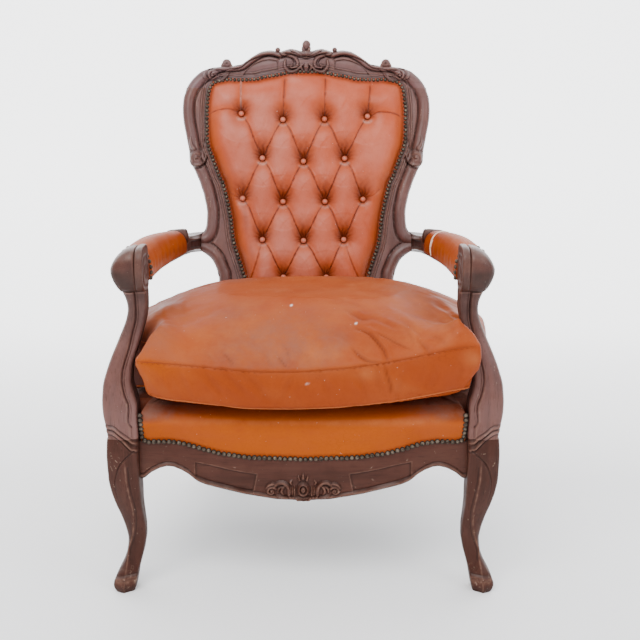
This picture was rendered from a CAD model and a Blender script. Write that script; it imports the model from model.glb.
"""Old carved open armchair: the finish of every surface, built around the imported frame.

Drawing coordinates, in metres: X to the right seen from the front, Y from the front
towards the back with y = 0 at the knees, Z up. Meshes are moved back by Y_MID when they
are made, which puts them in the frame's own coordinates.
"""

import math

import bpy
import bmesh
import numpy as np
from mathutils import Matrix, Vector


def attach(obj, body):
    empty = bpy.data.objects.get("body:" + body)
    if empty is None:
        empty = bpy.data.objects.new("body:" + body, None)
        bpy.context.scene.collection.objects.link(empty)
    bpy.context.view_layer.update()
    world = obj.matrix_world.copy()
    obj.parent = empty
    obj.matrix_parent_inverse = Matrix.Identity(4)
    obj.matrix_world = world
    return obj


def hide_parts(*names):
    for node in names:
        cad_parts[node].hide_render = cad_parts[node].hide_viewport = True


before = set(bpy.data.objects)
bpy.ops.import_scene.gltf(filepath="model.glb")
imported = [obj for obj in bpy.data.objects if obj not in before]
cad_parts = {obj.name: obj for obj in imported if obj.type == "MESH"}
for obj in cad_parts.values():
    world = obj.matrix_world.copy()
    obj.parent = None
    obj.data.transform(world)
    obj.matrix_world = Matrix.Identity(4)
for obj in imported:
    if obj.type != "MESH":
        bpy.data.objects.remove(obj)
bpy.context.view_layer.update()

Y_MID = 0.3103
RAKE = math.tan(math.radians(12.6))
FRAME_DEPTH = 0.036


def back_y(z):
    """Front plane of the back frame at a height."""
    return 0.5 + (z - 0.45) * RAKE


# ------------------------------------------------------------------ shared measures
STILE_OUTER = [
    (0.000, .209), (0.100, .206), (0.200, .205), (0.310, .205), (0.400, .202), (0.450, .198),
    (0.508, .197), (0.521, .2005), (0.534, .2055), (0.548, .2125), (0.5555, .2200), (0.561, .2290),
    (0.564, .236), (0.6055, .236), (0.609, .2305), (0.6185, .2265), (0.630, .2248), (0.653, .224), (0.666, .226),
    (0.693, .232), (0.719, .241), (0.745, .252), (0.758, .261), (0.772, .264), (0.785, .264),
    (0.798, .267), (0.824, .272), (0.850, .277), (0.877, .279), (0.903, .277), (0.916, .2725),
    (0.9247, .270)]
STILE_INNER = [
    (0.000, .176), (0.100, .166), (0.200, .156), (0.215, .155), (0.310, .155), (0.380, .152),
    (0.420, .140), (0.440, .128), (0.490, .128), (0.508, .133), (0.534, .141), (0.561, .150),
    (0.587, .158), (0.613, .162), (0.640, .165), (0.666, .170), (0.693, .176), (0.719, .183),
    (0.732, .190), (0.758, .200), (0.785, .210), (0.798, .215), (0.824, .218), (0.877, .218),
    (0.903, .216), (0.925, .2125)]
STILE_FRONT_Y = [
    (0.000, .607), (0.050, .576), (0.100, .5455), (0.150, .519), (0.200, .501), (0.250, .492),
    (0.300, .490), (0.350, .490), (0.400, .493), (0.450, .500)]
STILE_DEPTH = [(0.000, .036), (0.100, .041), (0.200, .044), (0.300, .045), (0.400, .042),
               (0.450, .0365), (0.478, .036), (1.000, .036)]
CREST_TOP_LINE = [
    (.000, 1.0065), (.014, 1.0065), (.024, 1.0095), (.035, 1.0115), (.047, 1.0085), (.059, 1.004),
    (.080, 1.008), (.101, 1.005), (.124, .992), (.144, .977), (.165, .9735), (.191, .972),
    (.213, .9695), (.236, .962), (.254, .947), (.2645, .934), (.2692, .9252)]
CREST_LOWER = [
    (.000, .957), (.025, .9565), (.050, .953), (.064, .950), (.095, .945), (.109, .941),
    (.140, .939), (.160, .939), (.174, .940), (.195, .937), (.206, .932), (.2125, .9250)]
APRON_BOTTOM = [(.000, .182), (.050, .184), (.110, .194), (.156, .205), (.180, .211), (.195, .217),
                (.202, .222), (.212, .231), (.225, .239), (.240, .245), (.252, .246), (.266, .242),
                (.283, .233), (.2965, .2213), (.3027, .2213)]
APRON_FRONT_Y = [(.000, .012), (.100, .0135), (.202, .018), (.252, .022), (.3027, .026)]
NAIL_LINE = [(.000, .265), (.100, .268), (.156, .2755), (.191, .285), (.213, .292), (.245, .2965),
             (.285, .2945), (.3027, .2945)]
FRONT_LEG = [
    (0.0000, .3205, .356, .003, .050), (0.0060, .3190, .359, .000, .052),
    (0.0150, .3170, .361, .000, .053), (0.0270, .3150, .356, .005, .055),
    (0.0390, .3130, .350, .010, .057), (0.0520, .3095, .343, .016, .059),
    (0.0760, .3030, .334, .022, .061), (0.1010, .2985, .332, .023, .061),
    (0.1250, .2980, .336, .019, .060), (0.1490, .3005, .342, .014, .060),
    (0.1730, .3025, .350, .008, .061), (0.1970, .3025, .356, .003, .062),
    (0.2205, .2995, .360, .000, .062), (0.2208, .3030, .360, .000, .062),
    (0.2450, .3030, .361, .000, .062), (0.2750, .3030, .361, .001, .062),
    (0.2950, .3030, .360, .003, .062), (0.3050, .3030, .359, .005, .062)]
ARM_SUPPORT = [
    (0.3053, .302, .358, .034, .054), (0.3260, .302, .361, .034, .052),
    (0.3490, .302, .3655, .034, .050), (0.3720, .3025, .3665, .035, .049),
    (0.3880, .3075, .3655, .037, .048), (0.4070, .3125, .364, .039, .047),
    (0.4380, .3110, .3545, .044, .047), (0.4600, .3045, .346, .049, .047),
    (0.4750, .2985, .3395, .052, .047), (0.4950, .2930, .331, .056, .047),
    (0.5190, .2865, .321, .060, .047), (0.5390, .2830, .3165, .062, .047),
    (0.5570, .2825, .3185, .061, .047), (0.5732, .2825, .3255, .060, .047)]
SIDE_RAIL_PLAN = [(.3290, .0623), (.3335, .150), (.3280, .250), (.3080, .350),
                  (.2750, .435), (.2400, .485), (.2053, .513)]
BUTTONS = [
    (-.145, .869), (-.052, .856), (.041, .857), (.137, .863),
    (-.098, .772), (-.006, .765), (.086, .771),
    (-.142, .684), (-.052, .677), (.042, .677), (.127, .682),
    (-.098, .594), (-.006, .592), (.084, .594),
    (-.051, .512), (.045, .512)]
BUTTON_NAMES = ["button_a1", "button_a2", "button_a3", "button_a4", "button_b1", "button_b2", "button_b3",
                "button_c1", "button_c2", "button_c3", "button_c4", "button_d1", "button_d2", "button_d3",
                "button_e1", "button_e2"]
DECK_TOP = 0.3705

# ------------------------------------------------------------------ camera, floor, light
CAM_Y, CAM_Z, CAM_X, CAM_TILT, FOCAL = -1.80, 0.95, 0.028, 13.12, 1044.5
PHOTO_X = 0.003            # the chair's middle plane stands this far left of the drawing's in the view

cam_data = bpy.data.cameras.new("view")
cam_data.lens = 58.75
cam_data.sensor_width = 36.0
cam_data.clip_start = 0.05
cam = bpy.data.objects.new("view", cam_data)
cam.location = (CAM_X + PHOTO_X, CAM_Y - Y_MID, CAM_Z)
cam.rotation_euler = (math.radians(90 - CAM_TILT), 0, 0)
bpy.context.scene.collection.objects.link(cam)
bpy.context.scene.camera = cam


def on_plane(u, v, off=0.0):
    """x, z of the point of the raked back plane seen at image point (u, v) of the 640 frame."""
    th = math.radians(CAM_TILT)
    a, b = (u - 320) / FOCAL, (v - 320) / FOCAL
    dy = math.cos(th) - b * math.sin(th)
    dz = -math.sin(th) - b * math.cos(th)
    t = (0.5 + (CAM_Z - 0.45) * RAKE - off - CAM_Y) / (dy - dz * RAKE)
    return CAM_X + PHOTO_X + a * t, CAM_Z + dz * t


def on_front(u, v, y):
    """x, z of the point of the upright plane at depth y seen at image point (u, v)."""
    th = math.radians(CAM_TILT)
    a, b = (u - 320) / FOCAL, (v - 320) / FOCAL
    dy = math.cos(th) - b * math.sin(th)
    dz = -math.sin(th) - b * math.cos(th)
    t = (y - CAM_Y) / dy
    return CAM_X + PHOTO_X + a * t, CAM_Z + dz * t


# ------------------------------------------------------------------ number helpers
def table_fn(table, sigma=0.0, step=0.0005):
    """A function reading a table of (t, value) with its corners rounded over sigma."""
    t = np.array([r[0] for r in table], float)
    v = np.array([r[1] for r in table], float)
    if sigma <= 0:
        return lambda q: np.interp(q, t, v)
    pad = 4 * sigma
    x = np.arange(t[0] - pad, t[-1] + pad + step, step)
    y = np.interp(x, t, v)
    s0 = (v[1] - v[0]) / (t[1] - t[0])
    s1 = (v[-1] - v[-2]) / (t[-1] - t[-2])
    y = np.where(x < t[0], v[0] + (x - t[0]) * s0, y)
    y = np.where(x > t[-1], v[-1] + (x - t[-1]) * s1, y)
    n = int(3 * sigma / step)
    k = np.exp(-0.5 * (np.arange(-n, n + 1) * step / sigma) ** 2)
    ys = np.convolve(np.pad(y, n, mode="edge"), k / k.sum(), mode="valid")
    return lambda q: np.interp(q, x, ys)


def even_fn(table, sigma, step=0.0005):
    """The same for a table in |x|, rounded over the middle as well."""
    both = sorted([(-a, b) for a, b in table if a > 0] + list(table))
    f = table_fn(both, sigma, step)
    return lambda q: f(q)


def smoothstep(a, b, x):
    t = np.clip((x - a) / (b - a), 0, 1)
    return t * t * (3 - 2 * t)


def spline(pts, per=10):
    """Catmull-Rom points through a list of 2-D or 3-D points."""
    p = np.array(pts, float)
    if len(p) < 3:
        return np.array([p[0] + (p[-1] - p[0]) * k / per for k in range(per + 1)])
    q = np.vstack([2 * p[0] - p[1], p, 2 * p[-1] - p[-2]])
    out = []
    for i in range(1, len(q) - 2):
        for k in range(per):
            t = k / per
            out.append(0.5 * ((2 * q[i]) + (q[i + 1] - q[i - 1]) * t
                              + (2 * q[i - 1] - 5 * q[i] + 4 * q[i + 1] - q[i + 2]) * t * t
                              + (3 * q[i] - q[i - 1] - 3 * q[i + 1] + q[i + 2]) * t ** 3))
    out.append(p[-1])
    return np.array(out)


def resample(path, pitch=None, count=None):
    """Even steps along a path of points."""
    path = np.array(path, float)
    seg = np.linalg.norm(np.diff(path, axis=0), axis=1)
    s = np.concatenate([[0], np.cumsum(seg)])
    n = count if count else max(2, int(round(s[-1] / pitch)) + 1)
    q = np.linspace(0, s[-1], n)
    return np.stack([np.interp(q, s, path[:, k]) for k in range(path.shape[1])], axis=1)


def polyline_distance(X, Z, pts):
    """Distance and 0..1 parameter along an open polyline, for arrays of points."""
    best = np.full(X.shape, 9.0)
    para = np.zeros(X.shape)
    p = np.asarray(pts, float)
    seg = np.linalg.norm(np.diff(p, axis=0), axis=1)
    cum = np.concatenate([[0], np.cumsum(seg)])
    total = max(cum[-1], 1e-9)
    for i in range(len(p) - 1):
        ax, az = p[i]
        bx, bz = p[i + 1]
        dx, dz = bx - ax, bz - az
        l2 = dx * dx + dz * dz
        if l2 < 1e-14:
            continue
        t = np.clip(((X - ax) * dx + (Z - az) * dz) / l2, 0, 1)
        d = np.hypot(X - ax - t * dx, Z - az - t * dz)
        m = d < best
        best = np.where(m, d, best)
        para = np.where(m, (cum[i] + t * seg[i]) / total, para)
    return best, para


def inside_polygon(X, Z, poly):
    """Signed distance to a closed polygon, positive inside."""
    p = np.asarray(poly, float)
    d, _ = polyline_distance(X, Z, np.vstack([p, p[:1]]))
    inside = np.zeros(X.shape, bool)
    n = len(p)
    for i in range(n):
        x0, z0 = p[i]
        x1, z1 = p[(i + 1) % n]
        if z0 == z1:
            continue
        c = (z0 > Z) != (z1 > Z)
        xc = (x1 - x0) * (Z - z0) / (z1 - z0) + x0
        inside ^= c & (X < xc)
    return np.where(inside, d, -d)


def hash01(*a):
    """Repeatable noise per lattice point, 0..1."""
    h = np.zeros(np.broadcast(*a).shape)
    for k, v in zip((127.1, 311.7, 74.7, 269.5), a):
        h = h + v * k
    s = np.sin(h) * 43758.5453
    return s - np.floor(s)


def noise3(x, y, z, seed=0.0):
    """Smooth value noise, -1..1."""
    xi, yi, zi = np.floor(x), np.floor(y), np.floor(z)
    xf, yf, zf = x - xi, y - yi, z - zi
    u, v, w = (f * f * (3 - 2 * f) for f in (xf, yf, zf))
    out = 0
    for i in (0, 1):
        for j in (0, 1):
            for k in (0, 1):
                c = hash01(xi + i, yi + j, zi + k, np.full_like(xi, seed))
                out = out + c * (u if i else 1 - u) * (v if j else 1 - v) * (w if k else 1 - w)
    return out * 2 - 1


def fbm(x, y, z, octaves=3, seed=0.0):
    out, amp, tot = 0, 1.0, 0
    for o in range(octaves):
        out = out + amp * noise3(x * 2 ** o, y * 2 ** o, z * 2 ** o, seed + o * 7.3)
        tot += amp
        amp *= 0.5
    return out / tot


# ------------------------------------------------------------------ relief carving
class Relief:
    """Height over a grid of (x, z) points, carved with strokes."""

    def __init__(self, X, Z, H):
        self.X, self.Z, self.H = X, Z, H.copy()
        self.base = H.copy()
        self.dirt = np.zeros(X.shape)
        self.wear = np.zeros(X.shape)

    def _near(self, pts, reach):
        p = np.asarray(pts)
        lo, hi = p.min(0) - reach, p.max(0) + reach
        return (self.X > lo[0]) & (self.X < hi[0]) & (self.Z > lo[1]) & (self.Z < hi[1])

    def fix_base(self):
        self.base = self.H.copy()

    def bead(self, pts, w, h, lift=0.0, smooth=True, sharp=2.0, over=False, dirt=0.6):
        """Raise a rounded bead of half width w and height h along a line."""
        line = spline(pts, 8) if smooth and len(pts) > 2 else np.array(pts, float)
        wmax = float(np.max(w))
        m = self._near(line, wmax * 1.6)
        if not m.any():
            return
        d, t = polyline_distance(self.X[m], self.Z[m], line)
        W = np.interp(t, np.linspace(0, 1, len(w)), w) if np.ndim(w) else w
        Hh = np.interp(t, np.linspace(0, 1, len(h)), h) if np.ndim(h) else h
        r = d / W
        prof = np.where(r < 1, (1 - np.clip(r, 0, 1) ** sharp) ** (1 / sharp), 0)
        new = self.base[m] + (lift + Hh * prof)
        old = self.H[m]
        self.H[m] = np.where(r < 1, new if over else np.maximum(old, new), old)
        edge = np.exp(-((r - 1.08) / 0.22) ** 2)
        self.dirt[m] = np.maximum(self.dirt[m], edge * dirt)
        self.wear[m] = np.maximum(self.wear[m], np.where(r < 0.7, (1 - r / 0.7) * 0.7, 0))

    def groove(self, pts, w, depth, smooth=True, dirt=0.8):
        line = spline(pts, 8) if smooth and len(pts) > 2 else np.array(pts, float)
        m = self._near(line, float(np.max(w)) * 3)
        if not m.any():
            return
        d, t = polyline_distance(self.X[m], self.Z[m], line)
        W = np.interp(t, np.linspace(0, 1, len(w)), w) if np.ndim(w) else w
        D = np.interp(t, np.linspace(0, 1, len(depth)), depth) if np.ndim(depth) else depth
        g = np.exp(-(d / W) ** 2)
        self.H[m] -= D * g
        self.dirt[m] = np.maximum(self.dirt[m], g * dirt)

    def dome(self, x, z, rx, rz, h, turn=0.0, sharp=2.0, lift=0.0, dirt=0.7):
        c, s = math.cos(turn), math.sin(turn)
        dx, dz = self.X - x, self.Z - z
        a, b = (dx * c + dz * s) / rx, (-dx * s + dz * c) / rz
        r = np.hypot(a, b)
        m = r < 1.6
        prof = np.where(r < 1, (1 - np.clip(r, 0, 1) ** sharp) ** (1 / sharp), 0)
        new = self.base + lift + h * prof
        self.H = np.where(r < 1, np.maximum(self.H, new), self.H)
        self.dirt = np.where(m, np.maximum(self.dirt, np.exp(-((r - 1.1) / 0.2) ** 2) * dirt), self.dirt)
        self.wear = np.where(r < 0.6, np.maximum(self.wear, 0.6 * (1 - r / .6)), self.wear)

    def pit(self, x, z, r, depth):
        g = np.exp(-((self.X - x) ** 2 + (self.Z - z) ** 2) / (r * r))
        self.H -= depth * g
        self.dirt = np.maximum(self.dirt, g)

    def sink(self, poly, depth, bevel=0.0015):
        """Sink a panel, with its edge sloped over bevel."""
        line = np.asarray(poly, float)
        m = self._near(line, 0.004)
        if not m.any():
            return
        d = inside_polygon(self.X[m], self.Z[m], line)
        self.H[m] -= depth * smoothstep(-bevel * .2, bevel, d)
        self.dirt[m] = np.maximum(self.dirt[m], np.exp(-((d - bevel) / 0.0016) ** 2) * 0.7)
        self.wear[m] = np.maximum(self.wear[m], np.exp(-((d + .0006) / 0.0008) ** 2) * 0.8)

    def spiral(self, x, z, r0, r1, start, turns, w, h, flip=1, lift=0.0):
        """Bead along a spiral running inwards from radius r0 to r1."""
        n = max(8, int(abs(turns) * 18))
        pts = []
        for k in range(n + 1):
            t = k / n
            a = start + flip * turns * 2 * math.pi * t
            r = r0 + (r1 - r0) * t ** 0.85
            pts.append((x + r * math.cos(a), z + r * math.sin(a)))
        self.bead(pts, w, h, lift=lift, smooth=False)


# ------------------------------------------------------------------ mesh helpers
class Build:
    """Collects shells into one mesh, with named point values."""

    def __init__(self):
        self.v, self.q, self.t, self.n = [], [], [], 0
        self.att = {}
        self.qm, self.tm = [], []

    def _values(self, count, values):
        values = values or {}
        for k in set(self.att) | set(values):
            have = sum(len(a) for a in self.att.get(k, []))
            lst = self.att.setdefault(k, [])
            if have < self.n:
                lst.append(np.zeros(self.n - have))
            val = values.get(k)
            lst.append(np.zeros(count) if val is None else np.broadcast_to(np.asarray(val, float).ravel(), (count,)) if np.ndim(val) == 0 or np.size(val) == 1 else np.asarray(val, float).ravel())

    def points(self, P, values=None):
        P = np.asarray(P, float).reshape(-1, 3)
        base = self.n
        self._values(len(P), values)
        self.v.append(P)
        self.n += len(P)
        return base

    def grid(self, P, wrap=False, wrap_u=False, caps=False, values=None, mat=0):
        """Rows of points. wrap closes each row; caps closes the first and last rows with fans."""
        P = np.asarray(P, float)
        n, m, _ = P.shape
        base = self.points(P, values)
        idx = np.arange(n * m).reshape(n, m) + base
        if wrap:
            idx = np.concatenate([idx, idx[:, :1]], axis=1)
        if wrap_u:
            idx = np.concatenate([idx, idx[:1]], axis=0)
        q = np.stack([idx[:-1, :-1], idx[:-1, 1:], idx[1:, 1:], idx[1:, :-1]], axis=-1).reshape(-1, 4)
        self.q.append(q)
        self.qm.append(np.full(len(q), mat))
        if caps:
            for row, k in ((0, 0), (n - 1, n - 1)):
                ring = np.arange(m) + base + k * m
                vals = {}
                for a in self.att:
                    flat = np.concatenate(self.att[a])
                    vals[a] = float(flat[ring].mean())
                c = self.points(P[k].mean(0)[None], {a: np.array([x]) for a, x in vals.items()})
                nxt = np.roll(ring, -1)
                tri = np.stack([ring, nxt, np.full(m, c)], axis=-1)
                if row == 0:
                    tri = tri[:, ::-1]
                self.t.append(tri)
                self.tm.append(np.full(len(tri), mat))
        return idx

    def quads(self, q, mat=0):
        self.q.append(np.asarray(q))
        self.qm.append(np.full(len(q), mat))

    def tris(self, t, mat=0):
        self.t.append(np.asarray(t))
        self.tm.append(np.full(len(t), mat))

    def make(self, name, mats, sharp=None, recalc=True, smooth=True):
        V = np.concatenate(self.v)
        V = V - np.array([0, Y_MID, 0])
        faces = [f for a in self.q for f in a.tolist()] + [f for a in self.t for f in a.tolist()]
        ids = np.concatenate(self.qm + self.tm) if (self.qm or self.tm) else np.zeros(0)
        me = bpy.data.meshes.new(name)
        me.from_pydata(V.tolist(), [], faces)
        me.update()
        for k, lst in self.att.items():
            a = np.concatenate(lst)
            if len(a) < len(V):
                a = np.concatenate([a, np.zeros(len(V) - len(a))])
            at = me.attributes.new(k, "FLOAT", "POINT")
            at.data.foreach_set("value", a.astype(np.float32))
        for mt in (mats if isinstance(mats, (list, tuple)) else [mats]):
            me.materials.append(mt)
        if len(ids) and ids.max() > 0:
            me.polygons.foreach_set("material_index", ids.astype(np.int32))
        if recalc:
            bm = bmesh.new()
            bm.from_mesh(me)
            bmesh.ops.recalc_face_normals(bm, faces=bm.faces)
            bm.to_mesh(me)
            bm.free()
        if smooth:
            me.shade_smooth()
        if sharp is not None:
            me.set_sharp_from_angle(angle=math.radians(sharp))
        ob = bpy.data.objects.new(name, me)
        bpy.context.scene.collection.objects.link(ob)
        return ob


def ring_rounded(x0, x1, y0, y1, r, n=5):
    """Closed rounded rectangle, counter-clockwise from the lower left corner."""
    r = min(r, (x1 - x0) * .49, (y1 - y0) * .49)
    pts = []
    for cx, cy, a0 in ((x0 + r, y0 + r, 180), (x1 - r, y0 + r, 270), (x1 - r, y1 - r, 0), (x0 + r, y1 - r, 90)):
        for k in range(n):
            a = math.radians(a0 + 90 * k / (n - 1))
            pts.append((cx + r * math.cos(a), cy + r * math.sin(a)))
    return pts


def ball(b, centre, radii, values=None, nu=14, nv=20, axis=(0, 0, 1), shape=None):
    """A closed rounded body about a centre; shape(u, v) scales the radius."""
    ax = Vector(axis).normalized()
    rot = Vector((0, 0, 1)).rotation_difference(ax).to_matrix()
    R = np.array(rot)
    th = np.linspace(0.02, math.pi - 0.02, nu)
    ph = np.arange(nv) * 2 * math.pi / nv
    T, F = np.meshgrid(th, ph, indexing="ij")
    k = shape(T, F) if shape else 1.0
    P = np.stack([radii[0] * np.sin(T) * np.cos(F) * k, radii[1] * np.sin(T) * np.sin(F) * k,
                  radii[2] * np.cos(T) * k], axis=-1)
    P = P @ R.T + np.array(centre)
    b.grid(P, wrap=True, caps=True, values=values)


def sweep(b, path, radius, sides=8, values=None, flat=1.0, up=(0, 1, 0)):
    """Tube of varying radius along 3-D points."""
    p = np.array(path, float)
    n = len(p)
    r = np.interp(np.linspace(0, 1, n), np.linspace(0, 1, len(radius)), radius) if np.ndim(radius) else np.full(n, radius)
    t = np.gradient(p, axis=0)
    t /= np.linalg.norm(t, axis=1)[:, None] + 1e-12
    U = np.array(up, float)
    s = np.cross(t, U)
    s /= np.linalg.norm(s, axis=1)[:, None] + 1e-12
    o = np.cross(s, t)
    a = np.arange(sides) * 2 * math.pi / sides
    P = p[:, None, :] + r[:, None, None] * (np.cos(a)[None, :, None] * s[:, None, :]
                                            + flat * np.sin(a)[None, :, None] * o[:, None, :])
    b.grid(P, wrap=True, caps=True, values=values)


def place(ob, *nodes, slot=None):
    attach(ob, "root")
    if nodes:
        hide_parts(*nodes)
    return ob

# ------------------------------------------------------------------ materials
class Mat:
    """Small helper for node materials."""

    def __init__(self, name, roughness=0.5, metallic=0.0, coat=0.0, coat_rough=0.3, sheen=0.0, spec=0.5):
        self.mat = bpy.data.materials.new(name)
        self.mat.use_nodes = True
        self.nt = self.mat.node_tree
        self.nt.nodes.clear()
        self.out = self.node("ShaderNodeOutputMaterial")
        self.bsdf = self.node("ShaderNodeBsdfPrincipled")
        self.nt.links.new(self.bsdf.outputs[0], self.out.inputs[0])
        b = self.bsdf.inputs
        b["Roughness"].default_value = roughness
        b["Metallic"].default_value = metallic
        b["Coat Weight"].default_value = coat
        b["Coat Roughness"].default_value = coat_rough
        b["Sheen Weight"].default_value = sheen
        b["Specular IOR Level"].default_value = spec
        self.tc = self.node("ShaderNodeTexCoord")
        self.obj = self.tc.outputs["Object"]
        self.geo = self.node("ShaderNodeNewGeometry")

    def node(self, kind, **props):
        nd = self.nt.nodes.new(kind)
        for k, v in props.items():
            setattr(nd, k, v)
        return nd

    def put(self, socket, value):
        if isinstance(value, bpy.types.NodeSocket):
            self.nt.links.new(value, socket)
        elif isinstance(value, (tuple, list)) and len(value) == 3 and socket.type == "RGBA":
            socket.default_value = (*value, 1.0)
        else:
            socket.default_value = value

    def mapping(self, scale=(1, 1, 1), rot=(0, 0, 0), loc=(0, 0, 0), vec=None):
        nd = self.node("ShaderNodeMapping")
        nd.inputs["Scale"].default_value = scale
        nd.inputs["Rotation"].default_value = rot
        nd.inputs["Location"].default_value = loc
        self.put(nd.inputs["Vector"], vec if vec is not None else self.obj)
        return nd.outputs[0]

    def noise(self, scale, detail=3.0, rough=0.55, vec=None, distort=0.0):
        nd = self.node("ShaderNodeTexNoise")
        nd.inputs["Scale"].default_value = scale
        nd.inputs["Detail"].default_value = detail
        nd.inputs["Roughness"].default_value = rough
        nd.inputs["Distortion"].default_value = distort
        self.put(nd.inputs["Vector"], vec if vec is not None else self.obj)
        return nd.outputs[0]

    def voronoi(self, scale, feature="F1", vec=None, rand=1.0):
        nd = self.node("ShaderNodeTexVoronoi", feature=feature)
        nd.inputs["Scale"].default_value = scale
        nd.inputs["Randomness"].default_value = rand
        self.put(nd.inputs["Vector"], vec if vec is not None else self.obj)
        return nd.outputs[0]

    def wave(self, scale, vec=None, distort=0.0, detail=2.0, direction="X", profile="SIN"):
        nd = self.node("ShaderNodeTexWave", bands_direction=direction, wave_profile=profile)
        nd.inputs["Scale"].default_value = scale
        nd.inputs["Distortion"].default_value = distort
        nd.inputs["Detail"].default_value = detail
        self.put(nd.inputs["Vector"], vec if vec is not None else self.obj)
        return nd.outputs["Fac"]

    def ramp(self, fac, *stops):
        nd = self.node("ShaderNodeValToRGB")
        r = nd.color_ramp
        while len(r.elements) < len(stops):
            r.elements.new(0.5)
        for e, (p, c) in zip(r.elements, stops):
            e.position = p
            e.color = (*c, 1.0) if isinstance(c, (tuple, list)) else (c, c, c, 1.0)
        self.put(nd.inputs[0], fac)
        return nd.outputs[0]

    def level(self, fac, a, b, c=0.0, d=1.0):
        nd = self.node("ShaderNodeMapRange")
        nd.clamp = True
        for k, v in zip((1, 2, 3, 4), (a, b, c, d)):
            nd.inputs[k].default_value = v
        self.put(nd.inputs[0], fac)
        return nd.outputs[0]

    def math(self, op, a, b=0.0, clamp=False):
        nd = self.node("ShaderNodeMath", operation=op)
        nd.use_clamp = clamp
        self.put(nd.inputs[0], a)
        self.put(nd.inputs[1], b)
        return nd.outputs[0]

    def mix(self, fac, a, b, blend="MIX"):
        nd = self.node("ShaderNodeMix", data_type="RGBA", blend_type=blend)
        nd.clamp_factor = True
        self.put(nd.inputs[0], fac)
        self.put(nd.inputs[6], a)
        self.put(nd.inputs[7], b)
        return nd.outputs[2]

    def attr(self, name):
        return self.node("ShaderNodeAttribute", attribute_name=name).outputs["Fac"]

    def normal_z(self):
        nd = self.node("ShaderNodeSeparateXYZ")
        self.put(nd.inputs[0], self.geo.outputs["Normal"])
        return nd.outputs[2]

    def xyz(self, k, vec=None):
        nd = self.node("ShaderNodeSeparateXYZ")
        self.put(nd.inputs[0], vec if vec is not None else self.obj)
        return nd.outputs[k]

    def pointy(self):
        return self.geo.outputs["Pointiness"]

    def colour(self, c):
        self.put(self.bsdf.inputs["Base Color"], c)

    def rough(self, r):
        self.put(self.bsdf.inputs["Roughness"], r)

    def bump(self, *pairs):
        """pairs of (height, strength, distance)."""
        prev = None
        for h, s, d in pairs:
            nd = self.node("ShaderNodeBump")
            nd.inputs["Strength"].default_value = s
            nd.inputs["Distance"].default_value = d
            self.put(nd.inputs["Height"], h)
            if prev is not None:
                self.nt.links.new(prev, nd.inputs["Normal"])
            prev = nd.outputs[0]
        self.nt.links.new(prev, self.bsdf.inputs["Normal"])


def wood_material(name, grain="z", dark=1.0, haze=0.5, seed=0.0, mauve=(.150, .086, .084), gloss=.16, spec=.30, plain=False):
    """Old stained beech: red-brown stain, mauve haze on the varnish, worn edges, dirt in the carving."""
    m = Mat(name, coat=gloss, coat_rough=0.30, spec=spec)
    s = {"x": (3.0, 34, 34), "y": (34, 3.0, 34), "z": (34, 34, 3.0)}[grain]
    f = {"x": (26, 420, 420), "y": (420, 26, 420), "z": (420, 420, 26)}[grain]
    g = m.noise(1.0, 5, 0.62, m.mapping(s, loc=(seed, seed * .7, 0)), 0.6)
    pores = m.noise(1.0, 2, 0.5, m.mapping(f, loc=(0, seed, 0)))
    big = m.noise(7.5, 4, 0.6, m.mapping(loc=(seed, 3, seed)))
    mottle = m.noise(38, 4, 0.65)
    base = m.ramp(g, (0.28, (.070 * dark, .0215 * dark, .0125 * dark)), (0.48, (.118 * dark, .0375 * dark, .0225 * dark)),
                  (0.70, (.160 * dark, .0560 * dark, .0350 * dark)))
    base = m.mix(m.level(big, .36, .64, haze * .35, haze), base, mauve)
    base = m.mix(m.level(mottle, .50, .72, 0, .40), base, (.075 * dark, .0240 * dark, .0150 * dark))
    base = m.mix(m.level(pores, .58, .70, 0, .40), base, (.040 * dark, .0140 * dark, .0090 * dark))
    if not plain:
        edge = m.level(m.pointy(), .515, .60, 0, .70)
        edge = m.math("MULTIPLY", edge, m.level(m.noise(60, 3), .35, .62))
        base = m.mix(edge, base, (.235, .120, .085))
    base = m.mix(m.math("MULTIPLY", m.attr("wear"), m.level(m.noise(90, 3), .30, .66, 0, .65)), base, (.225, .118, .082))
    base = m.mix(m.math("MULTIPLY", m.attr("scuff"), m.level(m.noise(240, 4, .7), .46, .62, 0, .85)), base, (.33, .225, .165))
    if not plain:
        base = m.mix(m.level(m.pointy(), .49, .42, 0, .60), base, (.024, .0095, .0065))
    base = m.mix(m.math("MULTIPLY", m.attr("dirt"), m.level(m.noise(45, 3), .25, .60, .40, .82)), base, (.026, .0115, .0085))
    dust = m.math("MULTIPLY", m.level(m.normal_z(), .35, .95), m.level(m.noise(26, 4), .38, .66, 0, .40))
    base = m.mix(dust, base, (.225, .170, .155))
    tiny = m.math("GREATER_THAN", m.noise(330, 1, .4), .80)
    base = m.mix(m.math("MULTIPLY", tiny, .40), base, (.30, .23, .19))
    m.colour(base)
    r = m.level(mottle, .30, .72, .32, .50)
    r = m.math("ADD", r, m.math("MULTIPLY", m.attr("dirt"), .22), clamp=True)
    m.rough(r)
    m.bump((g, .10, .0012), (pores, .14, .0004), (m.noise(150, 3), .07, .0006))
    return m.mat


def leather_nodes(m, pores=520.0, strength=0.22):
    cell = m.voronoi(pores, "SMOOTH_F1")
    wrinkle = m.noise(150, 4, .6, m.mapping((1, 1, .7)))
    m.bump((m.noise(26, 4, .55), .10, .0030), (wrinkle, .12, .0009), (cell, strength, .00035))
    return cell, wrinkle


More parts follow.
